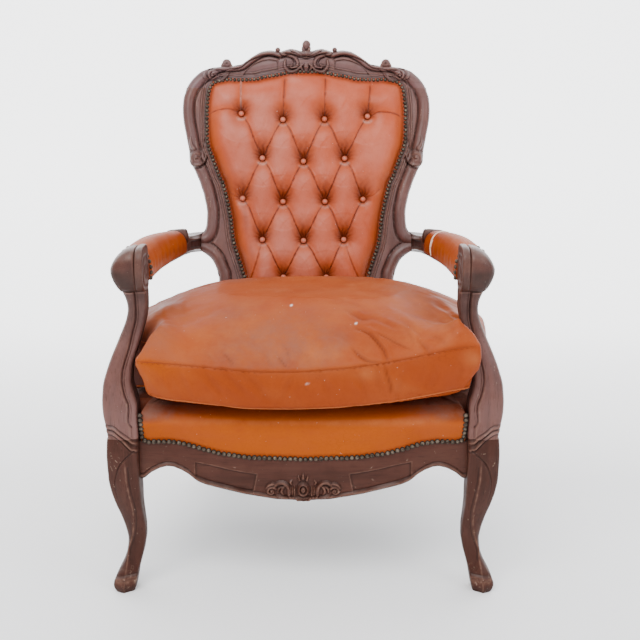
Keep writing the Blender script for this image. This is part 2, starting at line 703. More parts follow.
def leather_back():
    """Back leather: orange tan, rubbed pinkish on the crowns, dark red-brown in the folds."""
    m = Mat("back_leather", coat=0.05, coat_rough=0.28, spec=0.22)
    cell, wrinkle = leather_nodes(m, 540, .20)
    big = m.noise(8.5, 4, .6)
    mid = m.noise(30, 4, .62)
    fine = m.noise(210, 3, .6)
    c = m.ramp(big, (.30, (.42, .058, .011)), (.52, (.47, .080, .024)), (.74, (.51, .112, .046)))
    c = m.mix(m.level(mid, .42, .70, 0, .38), c, (.36, .042, .004))
    c = m.mix(m.math("MULTIPLY", m.attr("pink"), m.level(big, .30, .62, .24, .86)), c, (.510, .147, .096))
    c = m.mix(m.math("MULTIPLY", m.attr("edge"), .72), c, (.31, .050, .0))
    c = m.mix(m.level(fine, .55, .75, 0, .20), c, (.28, .040, .008))
    c = m.mix(m.math("MULTIPLY", m.attr("shade"), m.level(mid, .25, .70, .82, 1.0)), c, (.070, .0055, .0))
    c = m.mix(m.attr("fold"), c, (.040, .0050, .001))
    c = m.mix(m.math("MULTIPLY", m.attr("dust"), m.level(fine, .30, .60, .30, .85)), c, (.55, .36, .30))
    tiny = m.math("GREATER_THAN", m.noise(300, 1, .4), .81)
    c = m.mix(m.math("MULTIPLY", tiny, .4), c, (.70, .52, .44))
    m.colour(c)
    m.rough(m.level(mid, .3, .7, .33, .47))
    return m.mat


def leather_seat(name="seat_leather", dusty=1.0):
    """Seat leather: the same hide, dustier and rubbed on top, with fine cracks."""
    m = Mat(name, coat=0.02, coat_rough=0.34, spec=0.10)
    big = m.noise(6.5, 5, .62)
    mid = m.noise(24, 5, .65)
    fine = m.noise(190, 4, .62)
    crack = m.voronoi(95, "DISTANCE_TO_EDGE", m.mapping((1, 1, 1), vec=None))
    c = m.ramp(big, (.28, (.228, .029, .002)), (.50, (.272, .040, .004)), (.72, (.318, .060, .012)))
    c = m.mix(m.level(mid, .44, .70, 0, .40), c, (.235, .028, .001))
    c = m.mix(m.math("MULTIPLY", m.attr("edge"), m.level(mid, .2, .6, .55, .95)), c, (.368, .068, .0))
    c = m.mix(m.level(fine, .54, .72, 0, .20), c, (.19, .026, .004))
    c = m.mix(m.math("MULTIPLY", m.level(crack, .045, .0, 0, .30), m.level(mid, .45, .6)), c, (.14, .018, .004))
    c = m.mix(m.math("MULTIPLY", m.attr("worn"), m.level(mid, .30, .66, .10, .74)), c, (.425, .122, .036))
    c = m.mix(m.math("MULTIPLY", m.attr("shade"), .80), c, (.105, .0130, .0020))
    c = m.mix(m.attr("fold"), c, (.045, .0070, .0020))
    d = m.math("MULTIPLY", m.attr("dust"), m.level(m.noise(20, 5, .7), .36, .64, .15, .80 * dusty))
    c = m.mix(d, c, (.185, .085, .062))
    tiny = m.math("GREATER_THAN", m.noise(270, 1, .4), .805)
    c = m.mix(m.math("MULTIPLY", tiny, .5), c, (.62, .46, .38))
    c = m.mix(m.attr("speck"), c, (.80, .74, .68))
    m.colour(c)
    m.rough(m.math("ADD", m.level(mid, .3, .7, .42, .58), m.math("MULTIPLY", m.attr("dust"), .22), clamp=True))
    cell = m.voronoi(470, "SMOOTH_F1")
    m.bump((m.noise(17, 4, .55), .16, .0040), (m.noise(120, 4, .6), .14, .0010), (cell, .20, .0004))
    return m.mat


def nail_material():
    """Antique bronzed nail heads, dark round the rim and rubbed on the dome."""
    m = Mat("dome_nails", metallic=0.60, spec=0.30)
    n = m.noise(420, 3, .6)
    c = m.ramp(n, (.30, (.016, .011, .008)), (.55, (.040, .028, .020)), (.78, (.085, .062, .045)))
    c = m.mix(m.math("MULTIPLY", m.attr("wear"), m.level(m.noise(160, 2), .34, .62, 0, .72)), c, (.25, .195, .142))
    c = m.mix(m.math("MULTIPLY", m.attr("dirt"), .9), c, (.014, .010, .008))
    m.colour(c)
    m.rough(m.level(n, .3, .7, .42, .66))
    m.bump((m.noise(600, 3), .18, .0003))
    return m.mat


def steel_material():
    m = Mat("spring_steel", metallic=0.9)
    n = m.noise(90, 4, .6)
    m.colour(m.ramp(n, (.35, (.10, .085, .075)), (.60, (.26, .25, .24)), (.76, (.23, .095, .040))))
    m.rough(m.level(n, .3, .7, .30, .66))
    m.bump((m.noise(500, 3), .15, .0003))
    return m.mat


def weave_material(name, pitch, c0, c1, c2, rough=.9, bump=.45, axis=("x", "y"), sheen=.15):
    """Plain weave: two crossed sets of threads, with slubs and stains."""
    m = Mat(name, roughness=rough, sheen=sheen)
    k = 2 * math.pi / pitch / 20
    ia, ib = ("xyz".index(a) for a in axis)
    wob = m.noise(70, 2)
    def thread(i):
        return m.math("SINE", m.math("ADD", m.math("MULTIPLY", m.xyz(i), math.pi / pitch * 2), m.math("MULTIPLY", wob, 3.0)))
    a, b = thread(ia), thread(ib)
    h = m.math("MULTIPLY", m.math("ADD", m.math("MULTIPLY", a, b), 1.0), .5)
    holes = m.math("MULTIPLY", m.math("ABSOLUTE", a), m.math("ABSOLUTE", b))
    stain = m.noise(11, 4, .62)
    c = m.ramp(m.noise(240, 3, .6), (.3, c0), (.7, c1))
    c = m.mix(m.level(holes, .16, .0, 0, .75), c, c2)
    c = m.mix(m.level(stain, .50, .72, 0, .55), c, c2)
    m.colour(c)
    m.bump((h, bump, pitch * .35), (m.noise(800, 2), .15, .0002))
    return m.mat


def raw_wood_material():
    m = Mat("plain_wood", roughness=.75)
    g = m.noise(1.0, 5, .62, m.mapping((6, 60, 60)), .5)
    c = m.ramp(g, (.30, (.22, .125, .062)), (.50, (.34, .205, .108)), (.72, (.42, .270, .150)))
    c = m.mix(m.level(m.noise(14, 4), .48, .7, 0, .55), c, (.125, .070, .036))
    m.colour(c)
    m.bump((g, .25, .0010), (m.noise(420, 2), .18, .0004))
    return m.mat


WOOD_Z = wood_material("carved_wood_up", "z", dark=.92, haze=.46, seed=0.0, mauve=(.136, .078, .080))
WOOD_X = wood_material("carved_wood_across", "x", seed=4.0)
WOOD_Y = wood_material("carved_wood_deep", "y", dark=.50, haze=.24, seed=8.0, mauve=(.098, .052, .050), gloss=.10, spec=.20)
WOOD_LOW = wood_material("carved_wood_legs", "z", dark=.40, haze=.16, seed=2.0, mauve=(.082, .036, .029), gloss=.03, spec=.12)
WOOD_SUP = wood_material("carved_wood_supports", "z", dark=.92, haze=.46, seed=3.0, mauve=(.160, .091, .088), gloss=.10, spec=.24)
WOOD_APRON = wood_material("carved_wood_apron", "x", dark=.47, haze=.14, seed=6.0, mauve=(.082, .034, .027), gloss=.03, spec=.12)
RAIL_X = wood_material("carved_wood_rear_rails", "x", dark=.60, haze=.22, seed=9.0, mauve=(.098, .048, .042), gloss=.05, spec=.14, plain=True)
RAIL_Y = wood_material("carved_wood_side_rails", "y", dark=.52, haze=.18, seed=11.0, mauve=(.090, .042, .036), gloss=.05, spec=.14, plain=True)
WOOD_CREST = wood_material("carved_wood_crest", "x", dark=.95, haze=.70, seed=4.0, mauve=(.165, .098, .108))
BACK_LEATHER = leather_back()
SEAT_LEATHER = leather_seat()
NAIL_MAT = nail_material()
STEEL_MAT = steel_material()
JUTE_MAT = weave_material("jute_webbing", .0034, (.36, .255, .135), (.47, .35, .20), (.125, .078, .038), axis=("x", "y"))
HESSIAN_MAT = weave_material("hessian", .0030, (.37, .27, .150), (.46, .345, .200), (.120, .078, .040), axis=("x", "y"))
HESSIAN_BACK_MAT = weave_material("hessian_upright", .0030, (.37, .27, .150), (.46, .345, .200), (.120, .078, .040), axis=("x", "z"))
CAMBRIC_MAT = weave_material("black_cambric", .0016, (.016, .016, .018), (.034, .034, .037), (.006, .006, .007), axis=("x", "y"), bump=.3)
RAW_MAT = raw_wood_material()

# ------------------------------------------------------------------ back frame: stiles and crest
stile_out = table_fn(STILE_OUTER, .0030)
stile_in = table_fn(STILE_INNER, .0030)
stile_front = table_fn([(z, y) for z, y in STILE_FRONT_Y] + [(z, back_y(z)) for z in (.48, .52, .60, .70, .80, .90, 1.0)], .012)
stile_depth = table_fn(STILE_DEPTH, .006)
crest_up = even_fn(CREST_TOP_LINE, .0022)
crest_low = even_fn(CREST_LOWER, .0025)

# outer outline of the right half of the back, from the seat up to the middle of the crest
low_edge = [(x, z) for z, x in STILE_OUTER if .44 < z < .5645]
high_edge = [(x, z) for z, x in STILE_OUTER if .605 < z < .92] + [(x, z) for x, z in reversed(CREST_TOP_LINE)]
OUT_LOW = resample(spline([(x, z) for x, z in low_edge[:-1]] + [(.238, .5640), (.262, .5660)], 5), .004)
OUT_HIGH = resample(spline([(.262, .6078), (.240, .6060)] + high_edge[1:], 4), .004)
inner_edge = [(x, z) for z, x in STILE_INNER if .485 < z < .92] + [(x, z) for x, z in reversed(CREST_LOWER)]
INNER = resample(spline(inner_edge, 4), .004)


def torus_width(x, z):
    """Width of the outer round moulding: broad on the stiles, slim on the crest."""
    return np.where(z > .93, .0125 + .0135 * smoothstep(.188, .222, np.abs(x)), .026)


def back_relief(X, Z):
    """Carved height of the back frame in front of its plane, as a Relief over x >= 0."""
    d_lo, _ = polyline_distance(X, Z, OUT_LOW)
    d_hi, _ = polyline_distance(X, Z, OUT_HIGH)
    d_in, _ = polyline_distance(X, Z, INNER)
    d_out = np.minimum(d_lo, d_hi)
    w = torus_width(X, Z)
    r = np.clip(d_out / w, 0, 1)
    torus = -.0105 + .0150 * np.sin(np.pi * np.clip(r, 0, 1) ** .62) ** .75
    torus = np.where(r < .16, -.0115 + (.0115 + .0015) * np.sqrt(np.clip(1 - (1 - r / .16) ** 2, 0, 1)) * .75, torus)
    # round profile: quarter turn at the edge, crown, then down into the groove
    crown = -.0100 + .0145 * np.sqrt(np.clip(1 - np.clip((r - .52) / .52, -1, 1) ** 2, 0, 1))
    H = np.where(r < 1, crown, -.0008)
    band = smoothstep(1.0, 1.25, d_out / w)
    H = H * (1 - band) + band * (.0002 + .0010 * smoothstep(.020, .032, d_in))
    rel = Relief(X, Z, H)
    g = np.exp(-((d_out - w * 1.06) / .0015) ** 2)
    rel.H -= .0030 * g
    rel.dirt = np.maximum(rel.dirt, g * .9)
    for c, hh in ((.0135, .0014), (.0185, .0012)):
        k = np.exp(-((d_in - c) / .0011) ** 2)
        rel.H += hh * k
        rel.wear = np.maximum(rel.wear, k * .5)
    for c in (.0112, .0160, .0208):
        k = np.exp(-((d_in - c) / .0009) ** 2)
        rel.H -= .0007 * k
        rel.dirt = np.maximum(rel.dirt, k * .65)
    flat = smoothstep(.0115, .0100, d_in)
    rel.H = rel.H * (1 - flat) + flat * -.0004
    rel.dirt = np.maximum(rel.dirt, flat * .75)
    rel.d_out, rel.d_in, rel.w = d_out, d_in, w
    rel.fix_base()
    return rel


def pts_back(*uv, off=.004):
    """Image points on the back plane, brought to x >= 0 as the carving is the same both sides."""
    return [(abs(x), z) for x, z in (on_plane(u, v, off) for u, v in uv)]


def carve_volute(rel):
    """Scroll half way up each stile, where one moulding ends over the next."""
    cx, cz = .2455, .7725
    rel.groove([(.272, .762), (.262, .7525), (.249, .7495), (.236, .7520), (.228, .7600), (.2225, .7720)], .0017, .0042)
    rel.dome(cx, cz, .0175, .0165, .0052, sharp=2.6, lift=.0005)
    rel.spiral(cx, cz, .0135, .0020, math.radians(-40), 1.55, [.0033, .0030, .0024], [.0042, .0048, .0046], lift=.0025)
    rel.dome(cx + .0003, cz, .0036, .0036, .0105)
    rel.bead([(.2255, .7800), (.2262, .7720), (.2300, .7640), (.2370, .7585), (.2455, .7565), (.2560, .7580), (.2650, .7650)],
             [.0022, .0034, .0038, .0034], [.0030, .0060, .0066, .0050], lift=.0005)
    rel.groove([(.2290, .8120), (.2300, .7980), (.2330, .7895)], .0012, .0022)
    rel.bead([(.2600, .8180), (.2585, .8020), (.2520, .7920)], [.0016, .0040, .0050], [.001, .004, .005], lift=.001)


def stile_piece(name, side):
    zs = np.unique(np.concatenate([np.arange(0, .455, .007), np.arange(.455, .9240, .0026), [.9252]]))
    nf = 64
    rows, att_d, att_w, att_s = [], [], [], []
    s_front = np.linspace(0, 1, nf)
    Zg = np.repeat(zs[:, None], nf, axis=1)
    xi, xo = stile_in(zs), stile_out(zs)
    Xg = xi[:, None] + (xo - xi)[:, None] * s_front[None, :]
    rel = back_relief(Xg, Zg)
    carve_volute(rel)
    # the shoulder's joint with the crest and old scratches down the moulding
    blend = smoothstep(.455, .500, Zg)
    edge = np.minimum(Xg - xi[:, None], xo[:, None] - Xg)
    leg_h = -.0055 * (1 - np.sqrt(np.clip(1 - (1 - np.clip(edge / .0055, 0, 1)) ** 2, 0, 1)))
    H = rel.H * blend + leg_h * (1 - blend)
    dirt = rel.dirt * blend
    wear = rel.wear * blend
    sc = np.zeros_like(H)
    for k in range(16):
        a = hash01(np.array(k * 1.0), np.array(3.0 + side), np.array(0.5), np.array(0.0))
        bq = hash01(np.array(k * 2.0), np.array(9.0 + side), np.array(1.5), np.array(0.0))
        x0, z0 = .205 + .055 * float(a), .55 + .36 * float(bq)
        d, _ = polyline_distance(Xg, Zg, [(x0, z0), (x0 + .006 * (float(a) - .4), z0 + .010 + .014 * float(bq))])
        sc = np.maximum(sc, np.exp(-(d / .0007) ** 2))
    yf = stile_front(zs)[:, None] - H
    D = stile_depth(zs)
    yb = stile_front(zs) + D
    ring_pts, rd, rw, rs = [], [], [], []
    nsf = 7
    for j, z in enumerate(zs):
        front = np.stack([Xg[j], yf[j], np.full(nf, z)], axis=1)
        w = xo[j] - xi[j]
        r = .008
        # outer side, back and inner side
        y_o, y_i = yf[j, -1], yf[j, 0]
        ts = np.linspace(0, 1, nsf)
        outer = np.stack([np.full(4, xo[j]), np.linspace(y_o, yb[j] - r, 6)[1:-1], np.full(4, z)], axis=1)
        arc = np.linspace(0, math.pi / 2, nsf)
        c1 = np.stack([xo[j] - r + r * np.cos(arc), yb[j] - r + r * np.sin(arc), np.full(nsf, z)], axis=1)
        backp = np.stack([np.linspace(xo[j] - r, xi[j] + .004, 8)[1:-1], np.full(6, yb[j]), np.full(6, z)], axis=1)
        arc2 = np.linspace(math.pi / 2, math.pi, 4)
        c2 = np.stack([xi[j] + .004 + .004 * np.cos(arc2), yb[j] - .004 + .004 * np.sin(arc2), np.full(4, z)], axis=1)
        inner = np.stack([np.full(4, xi[j]), np.linspace(yb[j] - .004, y_i, 6)[1:-1], np.full(4, z)], axis=1)
        ring = np.vstack([front, outer, c1, backp, c2, inner])
        ring_pts.append(ring)
        rest = len(ring) - nf
        rd.append(np.concatenate([dirt[j], np.full(rest, .1)]))
        rw.append(np.concatenate([wear[j], np.full(rest, .1)]))
        rs.append(np.concatenate([sc[j], np.zeros(rest)]))
    P = np.array(ring_pts)
    P[:, :, 0] *= side
    b = Build()
    b.grid(P, wrap=True, caps=True, values={"dirt": np.array(rd), "wear": np.array(rw), "scuff": np.array(rs)})
    # a knob of the scroll stands out of the outline
    return place(b.make(name, WOOD_Z, sharp=50), "back_stile_left" if side < 0 else "back_stile_right", slot="carved_wood")


stile_piece("carved_stile_left", -1)
stile_piece("carved_stile_right", 1)


def crest_carving(rel):
    """Ornament of the crest, drawn on its right half (x >= 0)."""
    L = lambda *uv: pts_back(*uv)
    # border bead along the lower edge, and its quirk
    for dist, w, h in ((.0150, .0011, .0013), (.0195, .0010, .0010)):
        pass
    # sunk panel
    panel = L((242.5, 75.4), (246.0, 70.0), (250.5, 66.0), (255.0, 63.2), (261.5, 60.6), (268.5, 59.2), (277.0, 60.4),
              (277.8, 63.0), (277.8, 69.6), (270.0, 71.4), (260.0, 73.4), (252.0, 74.9))
    rel.sink(panel, .0032, .0016)
    rel.groove(L((243.5, 75.2), (252.0, 75.0), (260.0, 73.4), (270.0, 71.4), (277.4, 69.8)), .0013, .0020, smooth=False)
    rel.groove(L((277.9, 60.6), (277.9, 69.6)), .0010, .0016, smooth=False)
    # slim moulding over the panel, ending in a rounded tip by the shell
    rel.bead(L((231.0, 67.0), (236.0, 66.2), (241.0, 64.2), (248.0, 58.6), (258.0, 54.4), (268.3, 52.9), (275.7, 53.9), (280.4, 56.8)),
             [.0040, .0050, .0052, .0052, .0050, .0046, .0034], [.0040, .0052, .0056, .0056, .0054, .0050, .0040])
    rel.groove(L((234.0, 69.6), (241.0, 67.6), (249.0, 61.5), (259.0, 57.2), (268.3, 55.8), (275.2, 56.9), (279.2, 59.4)), .0013, .0026)
    rel.fix_base()
    # ear leaf: tight scroll with lobes running back along the moulding
    ex, ez = pts_back((213.3, 75.2))[0]
    rel.dome(ex, ez, .0135, .0125, .0030, sharp=3.0)
    rel.spiral(ex, ez, .0110, .0022, math.radians(60), -1.35, [.0030, .0029, .0022], [.0052, .0062, .0058], lift=.0015)
    rel.dome(ex, ez, .0030, .0030, .0085)
    lobes = [((217.0, 80.3), (222.0, 79.3), (226.3, 75.6), (228.6, 71.6)),
             ((218.2, 74.8), (222.8, 74.2), (227.0, 72.3), (231.2, 69.6)),
             ((214.8, 69.2), (219.6, 68.0), (224.5, 68.3), (229.8, 68.4)),
             ((208.5, 79.0), (205.3, 77.0), (204.2, 73.4)),
             ((211.2, 68.2), (208.4, 67.2), (205.4, 68.0))]
    for i, q in enumerate(lobes):
        rel.bead(L(*q), [.0022, .0040, .0044, .0024], [.0030, .0060, .0068, .0036], lift=.0010)
        rel.groove(L(*q), .0007, .0013, dirt=.5)
    # shell: petals spreading up from the middle
    for tip, bow, w in (((303.2, 46.4), (305.3, 50.0), .0034), ((299.6, 47.0), (303.6, 51.2), .0037),
                        ((296.0, 48.3), (301.8, 52.6), .0038), ((292.8, 50.3), (299.8, 54.1), .0036),
                        ((290.6, 52.8), (297.8, 55.4), .0030)):
        rel.bead(L(tip, bow, (305.2, 57.8)), [w, w * .9, w * .38], [.0050, .0060, .0040], lift=.0025)
    rel.bead(L((306.4, 44.0), (306.4, 50.0), (306.4, 57.5)), [.0048, .0036, .0022], [.0080, .0080, .0060], lift=.003)
    # ribbed leaf between the shell and the scroll
    rel.bead(L((281.0, 52.6), (286.0, 51.9), (291.0, 53.4), (296.6, 57.4)), [.0028, .0042, .0040, .0030], [.004, .0068, .0068, .005], lift=.001)
    rel.groove(L((283.0, 52.9), (289.0, 53.1), (295.0, 56.8)), .0007, .0014)
    # c scroll of acanthus beside the middle
    rel.bead(L((281.5, 54.0), (285.8, 55.0), (290.4, 55.8), (295.2, 58.2), (297.6, 62.6), (296.4, 66.6), (292.0, 67.6), (289.6, 65.6)),
             [.0020, .0030, .0036, .0038, .0038, .0036, .0030, .0024], [.004, .0070, .0085, .0092, .0092, .0088, .008, .007], lift=.0012)
    rel.bead(L((285.4, 60.0), (284.6, 63.4), (285.4, 67.6), (288.6, 71.0), (292.6, 71.4), (296.6, 70.0), (299.8, 67.2), (301.0, 63.6)),
             [.0022, .0034, .0038, .0040, .0038, .0034, .0030, .0020], [.003, .0065, .0080, .0085, .0085, .0080, .007, .004], lift=.0010)
    rel.dome(*pts_back((291.6, 65.2))[0], .0036, .0034, .0100)
    rel.groove(L((286.8, 66.0), (289.4, 69.0), (293.0, 69.4), (296.8, 67.6)), .0008, .0020)
    rel.groove(L((284.0, 56.2), (289.4, 57.4), (293.0, 60.0), (294.2, 63.0)), .0008, .0020)
    # worn band across the middle
    band = [(-.0005, z) for z in (0,)]
    bx = [on_plane(299.0, 58.6, .004), on_plane(306.4, 57.6, .004)]
    m = (np.abs(rel.X) < .0165) & (rel.Z > .9772) & (rel.Z < .9868)
    rel.H = np.where(m, np.maximum(rel.H, rel.base + .0052 - .0016 * (rel.X / .0165) ** 2), rel.H)
    rel.wear = np.where(m, .55, rel.wear)
    # drops under it
    rel.bead(L((306.4, 63.6), (306.4, 66.6), (306.4, 70.2)), [.0040, .0062, .0040], [.0060, .0092, .0060], lift=.001)
    rel.bead(L((303.2, 63.8), (300.8, 66.8), (302.6, 70.2)), [.0024, .0032, .0024], [.0045, .0070, .0050], lift=.001)
    rel.bead(L((299.6, 64.2), (297.6, 67.6), (299.2, 71.4)), [.0014, .0020, .0014], [.003, .0050, .003], lift=.001)
    rel.pit(*pts_back((303.6, 67.4))[0], .0016, .0030)


def crest_piece():
    n_c = 480
    xs = np.linspace(-.2692, .2692, n_c)
    zt = crest_up(xs)
    zb = crest_low(xs)
    zb = np.maximum(zb, .9250)
    zt = np.maximum(zt, zb + .0006)
    m_r = 58
    t = np.linspace(0, 1, m_r)
    Zg = zb[:, None] + (zt - zb)[:, None] * t[None, :]
    Xg = np.repeat(xs[:, None], m_r, axis=1)
    rel = back_relief(np.abs(Xg), Zg)
    rel.X = np.abs(Xg)
    crest_carving(rel)
    H = rel.H
    yb = back_y(Zg) + FRAME_DEPTH
    yf = back_y(Zg) - H
    rings, dd, ww = [], [], []
    for j in range(n_c):
        front = np.stack([Xg[j], yf[j], Zg[j]], axis=1)          # bottom to top
        top_y0, top_y1 = yf[j, -1], yb[j, -1]
        thick = min(.010, (zt[j] - zb[j]) * .45)
        arc = np.linspace(0, math.pi / 2, 6)
        zc = zt[j] - thick
        yend = back_y(zt[j]) + FRAME_DEPTH
        top = np.stack([np.full(5, xs[j]), np.linspace(top_y0, yend - thick, 7)[1:-1], np.full(5, zt[j])], axis=1)
        corner = np.stack([np.full(6, xs[j]), yend - thick + thick * np.sin(arc) + (zc + thick * np.cos(arc) - zt[j]) * RAKE,
                           zc + thick * np.cos(arc)], axis=1)
        zz = np.linspace(zc, zb[j], 7)[1:]
        backp = np.stack([np.full(6, xs[j]), back_y(zz) + FRAME_DEPTH, zz], axis=1)
        bot = np.stack([np.full(3, xs[j]), np.linspace(back_y(zb[j]) + FRAME_DEPTH, yf[j, 0], 5)[1:-1], np.full(3, zb[j])], axis=1)
        ring = np.vstack([front, top, corner, backp, bot])
        rings.append(ring)
        rest = len(ring) - m_r
        dd.append(np.concatenate([rel.dirt[j], np.full(rest, .1)]))
        ww.append(np.concatenate([rel.wear[j], np.full(rest, .1)]))
    b = Build()
    b.grid(np.array(rings), wrap=True, caps=True, values={"dirt": np.array(dd), "wear": np.array(ww)})
    # finial bud, its collar, the two ears' knobs and the two nubs
    for s in (1,):
        z0 = 1.0045
        y0 = back_y(1.012) + .0035
        prof = [(0, .0050), (.004, .0060), (.009, .0082), (.0145, .0096), (.0190, .0088), (.0230, .0062), (.0252, .0025)]
        n = 28
        zz = np.linspace(0, 1, n)
        hs = np.interp(zz, np.linspace(0, 1, len(prof)), [p[0] for p in prof])
        rr = table_fn([(p[0], p[1]) for p in prof], .0008, .0001)(hs)
        a = np.arange(28) * 2 * math.pi / 28
        lob = 1 + .07 * np.cos(3 * a)[None, :] * smoothstep(.2, .8, zz)[:, None]
        P = np.stack([rr[:, None] * np.cos(a)[None, :] * lob, y0 + hs[:, None] * RAKE * .6 + .95 * rr[:, None] * np.sin(a)[None, :] * lob,
                      z0 + hs[:, None] + 0 * a[None, :]], axis=-1)
        dirt = np.clip(np.exp(-((hs[:, None] - .0045) / .002) ** 2) + .4 * (np.cos(3 * a)[None, :] < -.6), 0, 1) * np.ones_like(P[..., 0])
        b.grid(P, wrap=True, caps=True, values={"dirt": dirt, "wear": .5 * smoothstep(.4, .8, zz)[:, None] * np.ones_like(P[..., 0])})
        for sx in (-1, 1):
            # leaves that clasp the bud
            sweep(b, spline([(sx * .002, y0 - .0080, 1.0015), (sx * .0065, y0 - .0088, 1.008), (sx * .0088, y0 - .0040, 1.0150)], 6),
                  [.0016, .0030, .0034, .0012], 8, {"dirt": .25, "wear": .3})
    for sx in (-1, 1):
        kx, kz = .1790, .9780
        y0 = back_y(kz) + .0045
        def seam(T, F):
            return 1 + .10 * np.cos(2 * F + .6) * np.sin(T) - .10 * np.exp(-((T - .9) / .22) ** 2) * (np.cos(F + 1.6) > .2)
        ball(b, (sx * kx, y0, kz), (.0096, .0092, .0102), {"dirt": .15, "wear": .35}, 18, 24, shape=seam)
        ball(b, (sx * (kx - .0005), y0 - .0066, kz + .0022), (.0028, .0036, .0028), {"dirt": 1.0}, 10, 12)
        sweep(b, spline([(sx * (kx - .0125), y0 - .001, kz - .0110), (sx * (kx - .0085), y0 - .0020, kz - .0025), (sx * (kx - .0015), y0 - .0010, kz + .0085)], 8),
              [.0022, .0036, .0034, .0016], 8, {"dirt": .1, "wear": .4})
        sweep(b, spline([(sx * (kx + .0120), y0, kz - .0100), (sx * (kx + .0090), y0 - .0010, kz - .0020), (sx * (kx + .0030), y0, kz + .0075)], 8),
              [.0022, .0034, .0030, .0014], 8, {"dirt": .1, "wear": .4})
        nx, nz = .0640, 1.0085
        y1 = back_y(nz) + .0040
        ball(b, (sx * nx, y1, nz), (.0058, .0056, .0056), {"dirt": .2, "wear": .35}, 14, 18)
    return place(b.make("carved_crest", WOOD_CREST, sharp=55), "crest_rail", slot="carved_wood")


crest_piece()

# ------------------------------------------------------------------ front seat rail
def pts_front(*uv, y=.010):
    """Image points on the front rail, brought to x >= 0."""
    return [(abs(x), z) for x, z in (on_front(u, v, y) for u, v in uv)]


apron_low = even_fn(APRON_BOTTOM, .0022)
apron_y = even_fn(APRON_FRONT_Y, .010)
nail_z = even_fn(NAIL_LINE, .006)


def apron_carving(rel):
    F = lambda *uv: pts_front(*uv)
    # sunk panels either side of the rosette
    panel = F((349.5, 474.6), (360.0, 473.4), (378.0, 470.2), (396.0, 466.2), (411.8, 463.4), (411.8, 479.5), (400.0, 484.2),
              (384.0, 488.2), (368.0, 491.6), (353.5, 494.0))
    rel.sink(panel, .0034, .0022)
    rel.fix_base()
    # cabochon with rings
    cx, cz = pts_front((305.6, 489.6))[0][0], on_front(305.6, 489.6, .010)[1]
    cx = 0.0
    rel.dome(cx, cz, .0118, .0150, .0050, sharp=4.0)
    d = np.hypot((rel.X - cx) / .0098, (rel.Z - cz) / .0128)
    ring = np.exp(-((d - .80) / .13) ** 2)
    rel.H += .0032 * ring
    rel.dirt = np.maximum(rel.dirt, .85 * np.exp(-((d - .58) / .10) ** 2) + .7 * np.exp(-((d - 1.08) / .09) ** 2))
    rel.H -= .0022 * np.exp(-((d - .58) / .12) ** 2)
    rel.dome(cx, cz, .0050, .0066, .0088)
    rel.pit(cx, cz + .0002, .0016, .0028)
    # crown over it, drop under it
    for p, q, w in (((303.4, 477.8), (303.4, 474.8), .0032), ((299.6, 479.6), (298.6, 476.4), .0026), ((307.2, 479.6), (308.2, 476.4), .0026)):
        x0, z0 = on_front(*p, .010)
        x1, z1 = on_front(*q, .010)
        sh = on_front(303.4, 480, .010)[0]
        rel.bead([(abs(x0 - sh), z0), (abs(x1 - sh) + 1e-5, z1)], [w, w * .7], [.0062, .0040], smooth=False)
    zt = on_front(303.4, 503.2, .010)[1]
    rel.dome(0, zt + .0008, .0052, .0052, .0066)
    rel.bead([(.0050, zt + .0044), (.0100, zt + .0050), (.0135, zt + .0100)], [.0026, .0030, .0020], [.0045, .0055, .003])
    # flutes beside the cabochon
    for k, x in enumerate((.0156, .0196, .0234)):
        rel.bead([(x, cz - .0125 + .002 * k), (x + .0006, cz - .002), (x + .0004, cz + .0065 - .0015 * k)], [.0018, .0020, .0014], [.0042, .0050, .0030])
    # c scrolls running outwards
    rel.bead([(.0230, cz - .0168), (.0262, cz - .0120), (.0270, cz - .0030), (.0288, cz + .0060), (.0350, cz + .0125), (.0430, cz + .0140), (.0500, cz + .0100), (.0545, cz + .0035)],
             [.0022, .0032, .0036, .0038, .0038, .0036, .0032, .0026], [.003, .0062, .0072, .0078, .0078, .0076, .0066, .0040])
    rel.spiral(.0590, cz - .0030, .0092, .0016, math.radians(150), -1.30, [.0030, .0032, .0024], [.0058, .0068, .0060])
    rel.dome(.0590, cz - .0030, .0026, .0026, .0085)
    rel.bead([(.0505, cz + .0095), (.0570, cz + .0110), (.0640, cz + .0080), (.0690, cz + .0015)], [.0022, .0034, .0032, .0018], [.004, .0062, .0056, .003])
    rel.bead([(.0330, cz + .0080), (.0380, cz + .0030), (.0400, cz - .0040), (.0370, cz - .0100)], [.0018, .0030, .0030, .0018], [.003, .0058, .0056, .003])
    rel.bead([(.0400, cz + .0060), (.0460, cz + .0010), (.0470, cz - .0060)], [.0016, .0026, .0016], [.003, .0050, .003])
    rel.bead([(.0300, cz - .0170), (.0370, cz - .0150), (.0440, cz - .0130), (.0500, cz - .0120)], [.0018, .0030, .0030, .0016], [.003, .0052, .0050, .003])
    rel.bead([(.0215, cz + .0105), (.0235, cz + .0150), (.0205, cz + .0180)], [.0018, .0026, .0016], [.003, .005, .003])


